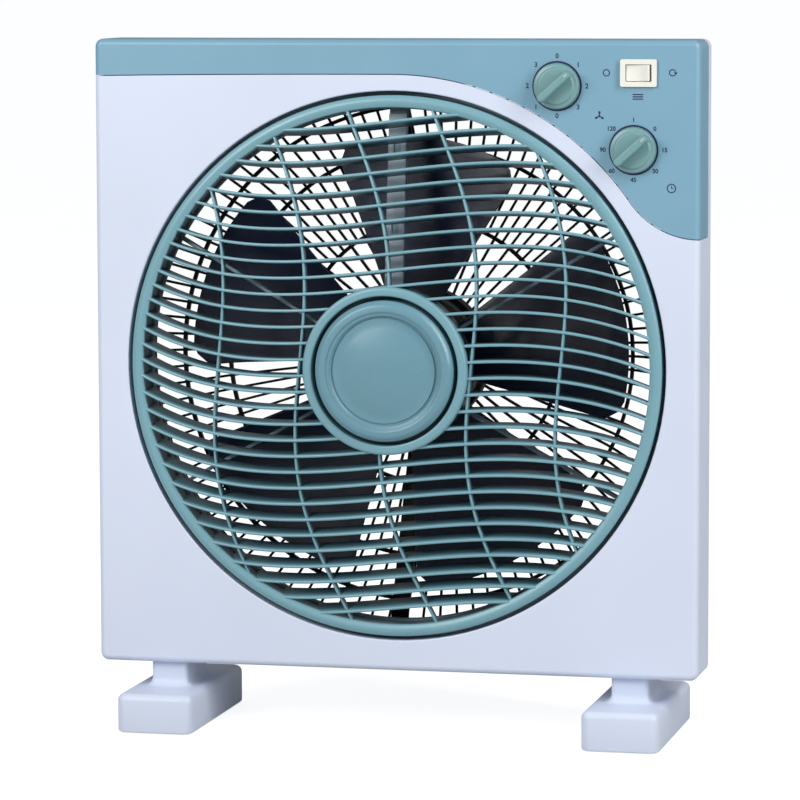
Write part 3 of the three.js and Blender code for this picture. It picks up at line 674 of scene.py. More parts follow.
def build_front_housing():
    back, lip = SPLIT, FRONT + LIP_DEPTH
    sections = [hole_section(OPENING, lip)]
    for a in quarter(4):
        sections.append(hole_section(OPENING + 0.9 * (1 - math.cos(a)), FRONT + 0.9 * (1 - math.sin(a))))
    sections += front_edge(0)
    sections += [edge_section(0, back - 0.5), edge_section(0.15, back - 0.15), edge_section(0.5, back)]
    sections += [edge_section(WALL, back)] + front_edge(WALL, 3)[::-1]
    sections += [hole_section(OPENING + WALL, FRONT + WALL), hole_section(OPENING + WALL, lip)]
    shell = loft("front_housing_shell", sections, loop=True)
    pocket = prism("pocket", fascia_outline(0.5), FRONT - 10, FASCIA_HIGH.y + 0.35)
    combine(shell, [pocket])
    soften(shell, 0.25, 2, 50)
    return finish_piece(shell, "root", "lavender", "front_housing")


def build_fascia():
    outer = loft("fascia_shell", front_edge(0) + [edge_section(0, SPLIT)])
    inner = loft("inner", front_edge(WALL) + [edge_section(WALL, SPLIT + 5)])
    area = prism("area", fascia_outline(0), FRONT - 10, FASCIA_HIGH.y)
    combine(outer, [area], "INTERSECT")
    combine(outer, [inner, *control_cutters()])
    soften(outer, 0.4, 3, 50)
    return finish_piece(outer, "root", "blue", "control_fascia")


def rear_screw_wells(start, back):
    wells = []
    for n in range(1, 5):
        node = f"corner_screw_{n}"
        seat, mouth = span(node)[1].y - 2.6, back - 1.2
        profile = [(2.1, seat), (3.8, seat), (3.8, mouth), (5.5, mouth), (5.5, start), (2.1, start)]
        wells.append(turned("well", profile, *centre(node), 40))
    return wells


def rear_openings(start, back):
    cutters = []
    for n in range(1, 5):
        cutters.append(cylinder("well", *centre(f"corner_screw_{n}"), 3.8, start + 8, back + 1))
    cutters.append(cylinder("inlet", *centre("cord_inlet_gland"), 5.3, start + 20, back + 1))
    return cutters


def build_rear_housing():
    start, back = REAR_LOW.y, REAR_HIGH.y
    inset, corner, edge = 4.5, 12.0, 5.0

    def ring(offset, y, grow):
        outline = body_ring(offset + inset * grow, corner - offset * 0.5, REAR_LOW, REAR_HIGH)
        return at_depth(outline, y)

    sections = [ring(0, start, 0), ring(0, start + 1, 0.02)]
    for a in quarter(8):
        sections.append(ring(edge * (1 - math.cos(a)), back - edge * (1 - math.sin(a)), 1))
    sections += [hole_section(REAR_OPENING + 0.6, back), hole_section(REAR_OPENING, back - 0.6)]
    sections += [hole_section(REAR_OPENING, back - WALL)]
    sections += [ring(WALL + 2, back - WALL, 1), ring(WALL, back - WALL - 2, 1), ring(WALL, start, 0)]
    shell = loft("rear_housing_shell", sections, loop=True)
    combine(shell, rear_openings(start, back))
    soften(shell, 0.3, 2, 50)
    finish_piece(shell, "root", "lavender", "rear_housing")
    finish_piece(merged("screw_wells", rear_screw_wells(start, back)), "root", "lavender")


def build_gland():
    low, high = span("cord_inlet_gland")
    back = REAR_HIGH.y
    profile = [(3.5, low.y), (5, low.y), (5, back + 0.3), (8, back + 0.3), (7.6, back + 2.6)]
    for k in range(4):
        y = back + 3.2 + 1.3 * k
        profile += [(6.4 - 0.3 * k, y), (6.1 - 0.3 * k, y + 0.65)]
    profile += [(4.6, high.y), (3.5, high.y)]
    gland = turned("cord_inlet", profile, *centre("cord_inlet_gland"), 48)
    finish_piece(gland, "root", "black", "cord_inlet_gland")


# ---- Revolving louver ----
SLAT_COUNT = 31
SLAT_PITCH = 9.5
SLAT_SHIFT = 0.97
SLAT_DEPTH = 14.0
WAVE = 14.28
WAVE_SPAN = 121.1
DOME = 23.6
DOME_RADIUS = 155.0
RIB_PITCH = 50.9
RIB_SHIFT = -1.0
BAND_GRIP = 3.0
SLAT_WIDTH = 1.7
RIB_WIDTH = 1.5
RIM_FRONT = -38.6
HUB_BACK = -45.0


def dome_front(r):
    return FRONT - DOME * (1 - (r / DOME_RADIUS) ** 2)


def slat_wave(x):
    t = x / WAVE_SPAN
    return WAVE * (t - t ** 3)


def rib_bend(z):
    t = z / 100
    return 10.6 * t - 19.6 * t ** 3 + 3.1 * t ** 5


def crossing(radius, sign, across):
    """Where a curve that leaves the middle one way meets a circle; None if it starts outside it."""
    low, high = 0.0, radius * 1.05
    if math.hypot(0, across(0)) > radius:
        return None
    for _ in range(30):
        middle = (low + high) / 2
        if math.hypot(middle, across(sign * middle)) < radius:
            low = middle
        else:
            high = middle
    return sign * low


def spread(start, end, step=3.5):
    count = max(2, int(abs(end - start) / step))
    return [start + (end - start) * i / count for i in range(count + 1)]


def curve_spans(across):
    """The stretches of a bent line between the hub ring and the rim."""
    left = crossing(LOUVER_INNER + BAND_GRIP, -1, across)
    right = crossing(LOUVER_INNER + BAND_GRIP, 1, across)
    hub = HUB_OUTER - 1.5
    near_left, near_right = crossing(hub, -1, across), crossing(hub, 1, across)
    if near_left is None:
        return [(left, right)]
    return [(left, near_left), (near_right, right)]


def slat_paths():
    paths = []
    for n in range(SLAT_COUNT):
        height = SLAT_SHIFT + (n - (SLAT_COUNT - 1) / 2) * SLAT_PITCH
        across = lambda x, h=height: h + slat_wave(x)
        for start, end in curve_spans(across):
            xs = spread(start, end)
            paths.append([(x, dome_front(math.hypot(x, across(x))), AXIS_Z + across(x)) for x in xs])
    return paths


def rib_paths():
    paths = []
    for n in range(-2, 3):
        place = RIB_SHIFT + n * RIB_PITCH
        along = lambda z, p=place: p + rib_bend(z)
        for start, end in curve_spans(along):
            zs = spread(start, end)
            paths.append([(along(z), dome_front(math.hypot(along(z), z)) + 1.2, AXIS_Z + z) for z in zs])
    return paths


def build_louver():
    front = LOUVER_LOW.y
    rim = rounded(
        [(LOUVER_INNER, -24.0), (LOUVER_OUTER, -24.0, 0.5), (LOUVER_OUTER, RIM_FRONT + 1.6, 1.6),
         (154.9, RIM_FRONT, 6.0), (LOUVER_INNER, RIM_FRONT + 1.4, 1.4)],
        0.4,
    )
    pieces = [turned("rim", rim, segments=240)]
    hub = rounded(
        [(HUB_INNER, HUB_BACK - 3), (HUB_INNER, front, 1.3), (HUB_OUTER, front, 2.2), (HUB_OUTER, HUB_BACK),
         (3.8, HUB_BACK), (3.8, -52), (8, -52), (8, HUB_BACK - 3)],
        0.3,
    )
    pieces.append(turned("hub", hub, segments=160))
    lean = 2 * DOME / DOME_RADIUS ** 2 / MM
    pieces.append(bars("slats", slat_paths(), SLAT_WIDTH, SLAT_DEPTH, 0.7, "teal", 1, lean))
    pieces.append(bars("ribs", rib_paths(), RIB_WIDTH, 6.0, 0.6, "teal"))
    louver = merged("revolving_louver", pieces)
    finish_piece(smooth(louver, 40), "louver", "teal", "rotary_louver")


def build_cap():
    """A shallow dome in a rounded rim, with a soft groove between them."""
    front, back = CAP_LOW.y, CAP_HIGH.y
    radius = CAP_HIGH.x
    profile = [(r, front - 0.3 + 3.2 * (r / 29) ** 2) for r in (0, 5, 10, 15, 20, 25, 28)]
    groove = [(29.6, front + 2.8), (30.8, front + 3.6, 0.9), (31.8, front + 2.4, 0.8), (33.2, front + 0.9)]
    profile += rounded(groove, 0.9, 5)
    lip = [(34.0, front + 0.45), (35.4, front, 3.0), (38.4, front + 0.3, 3.0), (radius, front + 2.6, 3.0)]
    profile += rounded(lip + [(radius, front + 7)], 2.5, 6)
    profile += [(radius, back), (radius - 2, back), (radius - 2, front + 6), (0, front + 6)]
    finish_piece(turned("centre_cap_shell", profile, segments=160, angle=50), "louver", "cap", "centre_cap")


# ---- Spider, fan and motor ----
ARM_START = 31
ARM_END = 150.5
THIN_ARM_ANGLES = (31, 151, 209, 330)
CHANNEL_WINDOWS = (345, 298.5)


def arm_front(r):
    return -38 + (r - 33) * 15.5 / 116


def spoke_path(angle, start, end, lift=0.0):
    """Points along the front of an arm, from one distance off the axis to another."""
    a = math.radians(angle)
    reach = spread(start, end, 12)
    return [(r * math.cos(a), arm_front(r) + lift, AXIS_Z + r * math.sin(a)) for r in reach]


def build_spider():
    front, back = -22.5, SPIDER_BACK
    rim = rounded([(150, back), (163, back), (163, front), (150, front)], 0.6)
    cup = rounded([(30, -40), (32.5, -40), (32.5, -25), (6, -25), (6, -27), (30, -27)], 0.5)
    pieces = [turned("rim", rim, segments=200), turned("cup", cup, segments=120)]
    thin_paths = [spoke_path(a, ARM_START, ARM_END) for a in THIN_ARM_ANGLES]
    pieces.append(bars("thin_arms", thin_paths, 2.2, 4.8, 0.6, "spider"))
    wide_path = spoke_path(90, ARM_START, ARM_END, 1.5)
    pieces.append(bars("wide_arm", [wide_path], 10.7, 3.3, 0.4, "spider"))
    ear = rounded([(1.5, back), (6, back), (6, front), (1.5, front)], 0.4)
    pieces += turned_around(ear, EAR_CIRCLE, DIAGONALS, 48)
    finish_piece(smooth(merged("fixed_spider", pieces), 40), "root", "spider", "louver_spider")


def build_channel_cover():
    low, high = span("wire_channel_cover")
    strip = bars("channel_cover", [spoke_path(90, 36, 147)], high.x - low.x, 1.2, 0.3, "channel")
    windows = [rounded(rectangle(0, z, 4.4, 6.4), 0.5) for z in CHANNEL_WINDOWS]
    combine(strip, [prism("window", outline, -45, -10) for outline in windows])
    finish_piece(smooth(strip, 35), "root", "channel", "wire_channel_cover")


def build_louver_motor():
    low, high = span("louver_motor")
    radius = high.x
    profile = rounded(
        [(3.8, low.y), (radius, low.y, 2.0), (radius, high.y), (0, high.y, 0), (0, low.y + 6, 0),
         (3.8, low.y + 6)],
        0.4,
    )
    finish_piece(turned("louver_motor_can", profile, segments=96), "root", "zinc", "louver_motor")


BLADES = 5
BLADE_ARC = 52.0
BLADE_GAP_AT = 48.0


def blade_surface(centre, name):
    """One blade: scooped along its width, with rounded outer corners."""
    across, along = 20, 16
    root, tip = 28.0, BLADE_HIGH.x - 0.4
    front, back, thick = BLADE_LOW.y, BLADE_HIGH.y, 1.8
    rows = []
    for side in (0, 1):
        for i in range(across + 1):
            t = i / across
            edge = abs(2 * t - 1)
            reach = tip - 9.0 * max(0.0, edge - 0.8) ** 2 / 0.04
            row = []
            for k in range(along + 1):
                s = k / along
                r = root + (reach - root) * s
                narrow = 1 - 0.04 * (1 - s)
                angle = math.radians(centre + BLADE_ARC * narrow * (t - 0.5))
                scoop = 4.2 * math.sin(math.pi * t) * (0.4 + 0.6 * s)
                lean = 0.5 + 0.5 * s
                y = (front + (back - thick - front) * t) * lean + scoop + thick * side
                y = min(max(y, front), back)
                row.append((r * math.cos(angle), y, AXIS_Z + r * math.sin(angle)))
            rows.append(row)
    n = along + 1
    lower, upper = rows[: across + 1], rows[across + 1:]
    vertices = [p for row in lower + upper for p in row]
    shift = (across + 1) * n
    faces = []
    for i in range(across):
        for k in range(along):
            a = i * n + k
            quad = (a, a + 1, a + n + 1, a + n)
            faces.append(quad)
            faces.append(tuple(v + shift for v in reversed(quad)))
    rim = [i * n for i in range(across + 1)]
    rim += [across * n + k for k in range(1, n)]
    rim += [i * n + along for i in range(across - 1, -1, -1)]
    rim += [k for k in range(along - 1, 0, -1)]
    for i, a in enumerate(rim):
        b = rim[(i + 1) % len(rim)]
        faces.append((a, b, b + shift, a + shift))
    return close_up(make_object(name, vertices, faces))


def build_fan():
    front, back = BLADE_LOW.y, BLADE_HIGH.y
    pieces = []
    for n in range(BLADES):
        blade = blade_surface(BLADE_GAP_AT + 360 / BLADES * (n + 0.5), "blade")
        pieces.append(soften(blade, 0.5, 2, 50))
    hub = rounded(
        [(4.2, front), (32, front, 3.0), (32, back), (29.5, back), (29.5, front + 5, 1.5), (9, front + 5),
         (9, back), (4.2, back)],
        0.4,
    )
    pieces.append(turned("hub", hub, segments=120))
    finish_piece(smooth(merged("five_blade_fan", pieces), 40), "fan_rotor", "navy", "fan_blade")
    low, high = span("blade_nut")
    nut = rounded([(4.2, high.y), (12, high.y), (11, low.y + 3.5, 1.2), (8, low.y, 1.5), (0, low.y, 0),
                   (0, low.y + 2.1, 0), (4.2, low.y + 2.1)], 0.4)
    finish_piece(turned("spinner_nut", nut, segments=64), "fan_rotor", "navy", "blade_nut")


def build_motor():
    paint_node("steel", "motor_shaft", "louver_drive_shaft", "rocker_pin")
    paint_node("steel", "speed_switch_shaft", "timer_shaft")
    paint_node("bronze", "front_bearing", "rear_bearing")
    paint_node("lamination", "rotor_core")
    paint_node("copper", "front_winding", "rear_winding")
    paint_node("black", "run_capacitor", "speed_switch_body")
    paint_node("zinc", "timer_body")
    low, high = span("stator_core")
    core = rounded([(22, low.y), (high.x, low.y), (high.x, high.y), (22, high.y)], 0.3)
    finish_piece(turned("laminated_core", core, segments=120), "root", "lamination", "stator_core")
    low, high = span("motor_front_shield")
    radius = high.x
    shield = rounded(
        [(6.3, low.y), (10, low.y), (10, low.y + 2), (radius, low.y + 2, 5.0), (radius, high.y),
         (radius - 2, high.y), (radius - 2, low.y + 4, 3.0), (10, low.y + 4), (10, low.y + 6),
         (6.3, low.y + 6)],
        0.5,
    )
    finish_piece(turned("front_shield", shield, segments=120), "root", "zinc", "motor_front_shield")
    low, high = span("motor_rear_shield")
    shield = rounded(
        [(6.3, high.y - 4), (10, high.y - 4), (10, high.y - 2), (radius - 2, high.y - 2, 3.0),
         (radius - 2, low.y), (radius, low.y), (radius, high.y, 5.0), (6.3, high.y)],
        0.5,
    )
    finish_piece(turned("rear_shield", shield, segments=120), "root", "zinc", "motor_rear_shield")


BRACKET_LEAN = 4.4
BRACKET_ANGLES = (90 + BRACKET_LEAN, 270 - BRACKET_LEAN)
POST_CIRCLE = 161.2


def build_duct():
    front, back = DUCT_LOW.y, DUCT_HIGH.y
    flange_back, ring_back = front + 2.3, front + 20.2
    profile = rounded(
        [(155, front, 1.0), (163, front), (163, flange_back), (157.5, flange_back, 0.8),
         (157.5, ring_back, 0.9), (155, ring_back, 0.9)],
        0.4,
    )
    pieces = [turned("duct_ring", profile, segments=240)]
    ear = rounded([(1.5, front), (6, front), (6, flange_back), (1.5, flange_back)], 0.3)
    pieces += turned_around(ear, EAR_CIRCLE, DIAGONALS, 48)
    post = rounded([(1.5, flange_back - 1), (4.2, flange_back - 1), (4.2, back), (1.5, back)], 0.4)
    pieces += turned_around(post, POST_CIRCLE, BRACKET_ANGLES, 40)
    finish_piece(smooth(merged("duct", pieces), 35), "root", "duct", "air_duct")


def build_bracket():
    """A strap across the motor's back, bent forward to its two posts, with a bead along each arm."""
    low, high = span("motor_bracket")
    thick = 2.5
    front = high.y - thick
    disc = rounded([(7, front), (34, front), (34, high.y), (7, high.y)], 0.5)
    pieces = [turned("disc", disc, segments=96)]
    bend = [(24, front), (43, front), (46, front - 0.1), (49, front - 0.5)]
    bend += [(151, low.y + 0.5), (154, low.y + 0.1), (157, low.y), (166, low.y)]
    for angle in BRACKET_ANGLES:
        path = [(x, y, z) for r, y in bend for x, z in [on_circle(r, angle)]]
        pieces.append(bars("arm", [path], 10.8, thick, 0.6, "black"))
        bead = [(x, y + thick, z) for r, y in bend if 40 < r < 156 for x, z in [on_circle(r, angle)]]
        pieces.append(bars("bead", [bead], 4, 1.2, 0.5, "black"))
    finish_piece(smooth(merged("motor_strap", pieces), 35), "root", "black", "motor_bracket")


# ---- Rear guard ----
GUARD_FLAT = 124.5
GUARD_END = 166.5
RIB_FRONT = 59.0
GUARD_RINGS = (80.0, GUARD_FLAT, 149.5)
GUARD_EAR_CIRCLE = 172
INNER_RIBS = 48
OUTER_RIBS = 96


def guard_front(r):
    """Front of the bars: flat in the middle, then sloping forward to the rim, with a soft bend."""
    slope = (RIB_FRONT - GUARD_LOW.y) / (GUARD_END - GUARD_FLAT)
    soft = 5.0
    past = r - GUARD_FLAT
    if past < -soft:
        return RIB_FRONT
    if past > soft:
        return RIB_FRONT - slope * past
    return RIB_FRONT - slope * (past + soft) ** 2 / (4 * soft)


def build_guard():
    front, back = GUARD_LOW.y, GUARD_HIGH.y
    rim = rounded([(165, front), (168.5, front), (168.5, front + 2.5, 1.0), (165, front + 2.5, 0.8)], 0.3)
    hub = rounded([(0, 58, 0), (36, 58), (36, back - 1, 2.0), (30, back, 1.5), (22, back - 1.2, 1.5),
                   (0, back - 1.2, 0)], 0.4)
    pieces = [turned("rim", rim, segments=240), turned("hub", hub, segments=96)]
    for radius in GUARD_RINGS:
        y, end = guard_front(radius), guard_front(radius + 2)
        near, far = radius - 1, radius + 1.2
        ring = rounded([(near, y + 0.2), (far, end + 0.2), (far, end + 3.6), (near, y + 3.6)], 0.6)
        pieces.append(turned("ring", ring, segments=192))
    ear = rounded([(1.5, front), (5.5, front), (5.5, front + 2.5, 0.8), (1.5, front + 2.5)], 0.3)
    pieces += turned_around(ear, GUARD_EAR_CIRCLE, DIAGONALS, 40)
    inner = [(r, guard_front(r), AXIS_Z) for r in (34, 57, 80)]
    outer = [(r, guard_front(r), AXIS_Z) for r in (80, 100, 118, 121, 124.5, 128, 131, 148, 165.6)]
    pieces.append(bars("inner_ribs", [inner], 1.5, 3.4, 0.6, "black", INNER_RIBS))
    pieces.append(bars("outer_ribs", [outer], 1.5, 2.6, 0.6, "black", OUTER_RIBS))
    finish_piece(smooth(merged("rear_guard_grille", pieces), 40), "root", "black", "rear_guard")


# ---- Controls ----
KNOB_RADIUS = 13.3
KNOB_FACE = -43.0
KNOB_ANGLE = 42
INK_FRONT = FRONT - 0.04
INK_BACK = FRONT + 0.01
SPEEDS = ("0", "1", "2", "3", "0", "1", "2", "3")
MINUTES = ("I", "0", "15", "30", "45", "60", "90", "120")


def turned_outline(outline, angle, x, z):
    """An outline turned about its origin and moved to a place on the fascia."""
    c, s = math.cos(math.radians(angle)), math.sin(math.radians(angle))
    return [(x + u * c - v * s, z + u * s + v * c) for u, v in outline]


def build_knob(name, node, body):
    """A round skirt with a softened grip bar across it and a painted pointer."""
    x, z = centre(node)
    low, high = span(node)
    front, back = low.y, high.y
    radius, face, angle = KNOB_RADIUS, KNOB_FACE, KNOB_ANGLE
    skirt = rounded(
        [(0, face, 0), (radius - 3.2, face, 1.2), (radius - 2.4, face + 1.0, 0.8),
         (radius - 0.4, face + 1.6, 1.0), (radius, back, 0.3), (0, back, 0)],
        0.5,
    )
    pieces = [turned("skirt", skirt, x, z, 96)]
    ends = rounded(rectangle(0, 0, 24.2, 5.2), 2.55, 8)
    wide = turned_outline(ends, angle, x, z)
    narrow = turned_outline([(u * 0.96, v * 0.72) for u, v in ends], angle, x, z)
    rings = [at_depth(wide, face + 0.6), at_depth(wide, front + 2.0), at_depth(narrow, front)]
    pieces.append(soften(loft("grip", rings), 0.55, 4, 25))
    knob = merged(name, pieces)
    finish_piece(knob, body, "knob", node)
    mark = turned_outline(rounded(rectangle(9.6, 0, 2.4, 1.0), 0.45, 3), angle, x, z)
    line = prism(name + "_pointer", mark, front - 0.03, front + 0.3)
    finish_piece(line, body, "pointer")


def build_rocker():
    low, high = span("rocker_body")
    x, z = centre("rocker_body")
    outline = rounded(rectangle(x, z, high.x - low.x, high.z - low.z), 1.2)
    flange = prism("rocker_frame", outline, low.y, low.y + 1.5)
    box = prism("box", rectangle(x, z, 18.4, 13.0), low.y + 1.0, high.y)
    combine(flange, [box], "UNION")
    combine(flange, [prism("well", rounded(rectangle(x, z, 15.2, 9.8), 0.6), low.y - 2, high.y - 10)])
    soften(flange, 0.3, 3)
    finish_piece(flange, "root", "cream", "rocker_body")
    half, tilt, pivot = 6.9, math.radians(10), -35.0
    lift = half * math.tan(tilt)
    profile = [(0, -2.6, 14.0), (half, -2.6 - lift, 0.5), (half, -0.4), (3, 3), (-3, 3), (-half, -0.4),
               (-half, -2.6 - lift, 0.5)]
    profile = rounded(profile, 0.6, 8)
    c, s = math.cos(-tilt), math.sin(-tilt)
    outline = [(x + u * c - v * s, pivot + u * s + v * c) for u, v in profile]
    button = loft("rocker_key", [[(u, v, z + side * 4.6) for u, v in outline] for side in (-1, 1)])
    soften(button, 0.35, 3)
    finish_piece(button, "rocker", "cream", "rocker_button")


def text_mesh(words, size):
    curve = bpy.data.curves.new("mark", "FONT")
    curve.body = words
    curve.size = size * MM
    curve.align_x = "CENTER"
    curve.align_y = "CENTER"
    curve.extrude = 0.02 * MM
    curve.offset = 0.11 * MM
    curve.resolution_u = 3
    obj = bpy.data.objects.new("mark", curve)
    bpy.context.scene.collection.objects.link(obj)
    bpy.context.view_layer.update()
    graph = bpy.context.evaluated_depsgraph_get()
    mesh = bpy.data.meshes.new_from_object(obj.evaluated_get(graph))
    bpy.data.objects.remove(obj)
    return mesh


def mark_at(words, x, z, size):
    """A printed number on the fascia's face."""
    mesh = text_mesh(words, size)
    place = Vector((x, FRONT - 0.02, z)) * MM
    mesh.transform(Matrix.Translation(place) @ Matrix.Rotation(math.pi / 2, 4, "X"))
    obj = bpy.data.objects.new("mark", mesh)
    bpy.context.scene.collection.objects.link(obj)
    return obj


def ink_shape(outline, x, z):
    return prism("ink", [(x + u, z + v) for u, v in outline], INK_FRONT, INK_BACK)


def ink_ring(x, z, radius, width, start=0, end=360):
    """A printed circle, or the part of one between two angles."""
    near, far = radius - width / 2, radius + width / 2
    if end - start >= 360:
        profile = [(near, INK_FRONT), (far, INK_FRONT), (far, INK_BACK), (near, INK_BACK)]
        return turned("ink", profile, x, z, 48)
    angles = [math.radians(start + (end - start) * i / 40) for i in range(41)]
    outer = [(far * math.cos(a), far * math.sin(a)) for a in angles]
    inner = [(near * math.cos(a), near * math.sin(a)) for a in reversed(angles)]
    return ink_shape(outer + inner, x, z)


def dial_marks(x, z, labels, size):
    """Numbers round a knob, outside a dark printed ring that is painted shade for the gap the knob sits in.
    """
    # Painted shade: this dark ring stands in for the shadow in the gap round the knob's skirt
    marks = [ink_ring(x, z, 13.9, 1.1)]
    for n, label in enumerate(labels):
        a = math.radians(90 - 45 * n)
        reach = 16.9 + 0.5 * len(label)
        marks.append(mark_at(label, x + reach * math.cos(a), z + 17.1 * math.sin(a), size))
    return marks


def fan_sign(x, z):
    """Three blades round a dot."""
    marks = [ink_ring(x, z, 0.35, 0.7)]
    for n in range(3):
        leaf = rounded([(0.6, -0.2), (2.6, -0.9), (3.0, 0.7), (1.0, 0.4)], 0.6, 4)
        marks.append(ink_shape(turned_outline(leaf, 120 * n + 90, 0, 0), x, z))
    return marks


def clock_sign(x, z):
    """A circle with two hands."""
    hand = rectangle(0, 0.75, 0.4, 1.7)
    short = rectangle(0.55, 0, 1.3, 0.4)
    return [ink_ring(x, z, 2.4, 0.6), ink_shape(hand, x, z), ink_shape(short, x, z)]


def louver_sign(x, z):
    """Three slats of the louver."""
    return [ink_shape(rounded(rectangle(0, d, 6.2, 0.7), 0.3, 3), x, z) for d in (-1.3, 0, 1.3)]


def turn_sign(x, z):
    """An open circle with an arrow head."""
    head = [(1.8 + 1.1, 0.3), (1.8 - 1.1, 0.3), (1.8, -1.5)]
    return [ink_ring(x, z, 1.8, 0.6, 20, 320), ink_shape(head, x, z)]


def build_marks():
    marks = []
    marks += dial_marks(*centre("speed_knob"), SPEEDS, 3.9)
    marks += dial_marks(*centre("timer_knob"), MINUTES, 3.5)
    marks.append(ink_ring(125.6, 389.2, 1.8, 0.6))
    marks += turn_sign(163.9, 389.4)
    marks += louver_sign(143.9, 375.6)
    marks += fan_sign(121.6, 364.5)
    marks += clock_sign(163.5, 323.5)
    finish_piece(merged("printed_marks", marks), "root", "ink")


# ---- Feet ----
FOOT_TOP = 23.6
FOOT_EDGE = 4.0
FOOT_CORNER = 6.0
STEM_HALF_WIDTH = 11
STEM_FRONT = -30
STEM_BACK = 15
STEM_FILLET = 5.0
PAD_DEPTHS = (-44, 36)
FOOT_SCREW_DEPTHS = (-22, -6)


def plan_outline(x, half, front, back, corner, steps):
    """A rounded rectangle seen from above."""
    corners = [(x - half, front), (x + half, front), (x + half, back), (x - half, back)]
    return rounded(corners, corner, steps)


def foot_base(name, low, high):
    """A flat block with a softened underside and a rounded top edge."""
    x, half_width = (low.x + high.x) / 2, (high.x - low.x) / 2

    def plan(inset, z):
        corner = max(FOOT_CORNER - inset * 0.6, 1.5)
        half, front, back = half_width - inset, low.y + inset, high.y - inset
        return at_height(plan_outline(x, half, front, back, corner, 10), z)

    sections = [plan(1.2, low.z), plan(0.3, low.z + 0.4), plan(0, low.z + 1.4)]
    for a in quarter(8):
        sections.append(plan(FOOT_EDGE * (1 - math.cos(a)), FOOT_TOP - FOOT_EDGE * (1 - math.sin(a))))
    return loft(name, sections)


def foot_stem(x, top):
    """The upright that carries the fan, with a fillet where it leaves the base."""

    def stem(grow, z):
        outline = plan_outline(x, STEM_HALF_WIDTH + grow, STEM_FRONT - grow, STEM_BACK + grow, 3 + grow, 6)
        return at_height(outline, z)

    rows = [stem(STEM_FILLET, FOOT_TOP - 1.5)]
    for a in quarter(8):
        rise = STEM_FILLET * (1 - math.cos(a)) - 0.02
        rows.append(stem(STEM_FILLET * (1 - math.sin(a)), FOOT_TOP + rise))
    rows.append(stem(0, top))
    return loft("stem", rows)


def foot_pad(node):
    """A round rubber pad with a softened lower edge."""
    low, high = span(node)
    x, y, r = (low.x + high.x) / 2, (low.y + high.y) / 2, (high.x - low.x) / 2
    rings = [(r - 1.0, low.z), (r - 0.3, low.z + 0.3), (r, low.z + 1.0), (r, high.z)]
    return loft("pad", [at_height(circle(x, y, radius), z) for radius, z in rings])


def build_foot(name):
    low, high = span(name)
    x = (low.x + high.x) / 2
    base = foot_base(name + "_base", low, high)
    combine(base, [foot_stem(x, high.z)], "UNION")
    cutters = [upright("cut", x, y, 8.3, low.z - 2, 2.9) for y in PAD_DEPTHS]
    cutters += [upright("cut", x, y, 5, low.z - 2, 14, 32) for y in FOOT_SCREW_DEPTHS]
    combine(base, cutters)
    smooth(base, 35)
    finish_piece(base, "root", "foot", name)
    nodes = [f"{name}_pad_{n}" for n in (1, 2)]
    pads = smooth(merged(name + "_rubbers", [foot_pad(node) for node in nodes]), 35)
    finish_piece(pads, "root", "rubber", *nodes)


# ---- Screws ----
HEAD = 2.4
SLOT_WIDTH = 0.7
SLOT_DEPTH = 1.1


def screw_piece(length, head_radius, shank_radius):
    """A cross-head screw along Y whose head's top is at the origin."""
    tip = -HEAD - length
    profile = rounded(
        [(0, tip, 0), (shank_radius, tip, 0.3), (shank_radius, -HEAD, 0), (head_radius, -HEAD),
         (head_radius, -0.7, 0.8), (head_radius - 0.8, 0, 0.6), (0, 0, 0)],
        0.2, 3,
    )
    screw = turned("screw", profile, 0, 0, 28)
    slot = head_radius * 1.1
    cross = [rectangle(0, 0, slot, SLOT_WIDTH), rectangle(0, 0, SLOT_WIDTH, slot)]
    return combine(screw, [prism("slot", outline, -SLOT_DEPTH, 1) for outline in cross])


def screw_group(name, count, head_radius, shank_radius):
    """Copies of one screw, each with its head where its CAD node ends."""
    nodes = [f"{name}_{n}" for n in range(1, count + 1)]
    points = []
    for node in nodes:
        low, high = span(node)
        x, z = centre(node)
        points.append((x, high.y, z))
    length = high.y - low.y - HEAD
    piece = screw_piece(length, head_radius, shank_radius)
    finish_piece(copies_at(name + "s", points, piece, "steel"), "root", "steel", *nodes)


# ---- Stage ----
FLOOR_REACH = 90000
FLOOR_GLOW = 0.85
KEY = {"location": (-0.85, -1.35, 0.95), "target": (0, 0, 0.22), "width": 0.8, "height": 0.8}
SOFTBOX = {"location": (1.15, -0.6, 0.95), "target": (0, 0, 0.25), "width": 0.35, "height": 1.3}
CAMERA_PLACE = (0.5578, -2.4186, 0.4570)
CAMERA_FORWARD = (-0.2252, 0.9686, -0.1051)
CAMERA_ROLL = -0.0023
CAMERA_LENS = 189.9


def look_matrix(location, forward, roll):
    """Where a camera stands that looks forward, with its picture turned by a small roll."""
    forward = Vector(forward).normalized()
    right = forward.cross(Vector((0, 0, 1))).normalized()
    up = right.cross(forward)
    tilted_right = right * math.cos(roll) + up * math.sin(roll)
    tilted_up = up * math.cos(roll) - right * math.sin(roll)
    rotation = Matrix((tilted_right, tilted_up, -forward)).transposed().to_4x4()
    return Matrix.Translation(location) @ rotation


def studio_world(settings):
    """A white backdrop whose light on the fan is dimmer than it looks."""
    world = bpy.data.worlds.new("studio")
    world.use_nodes = True
    tree = world.node_tree
    background = tree.nodes["Background"]
    background.inputs["Color"].default_value = (0.98, 0.99, 1, 1)
    seen = tree.nodes.new("ShaderNodeLightPath").outputs["Is Camera Ray"]
    level = tree.nodes.new("ShaderNodeMapRange")
    tree.links.new(seen, level.inputs["Value"])
    level.inputs["To Min"].default_value = settings.room_strength
    level.inputs["To Max"].default_value = settings.backdrop_strength
    tree.links.new(level.outputs["Result"], background.inputs["Strength"])
    return world


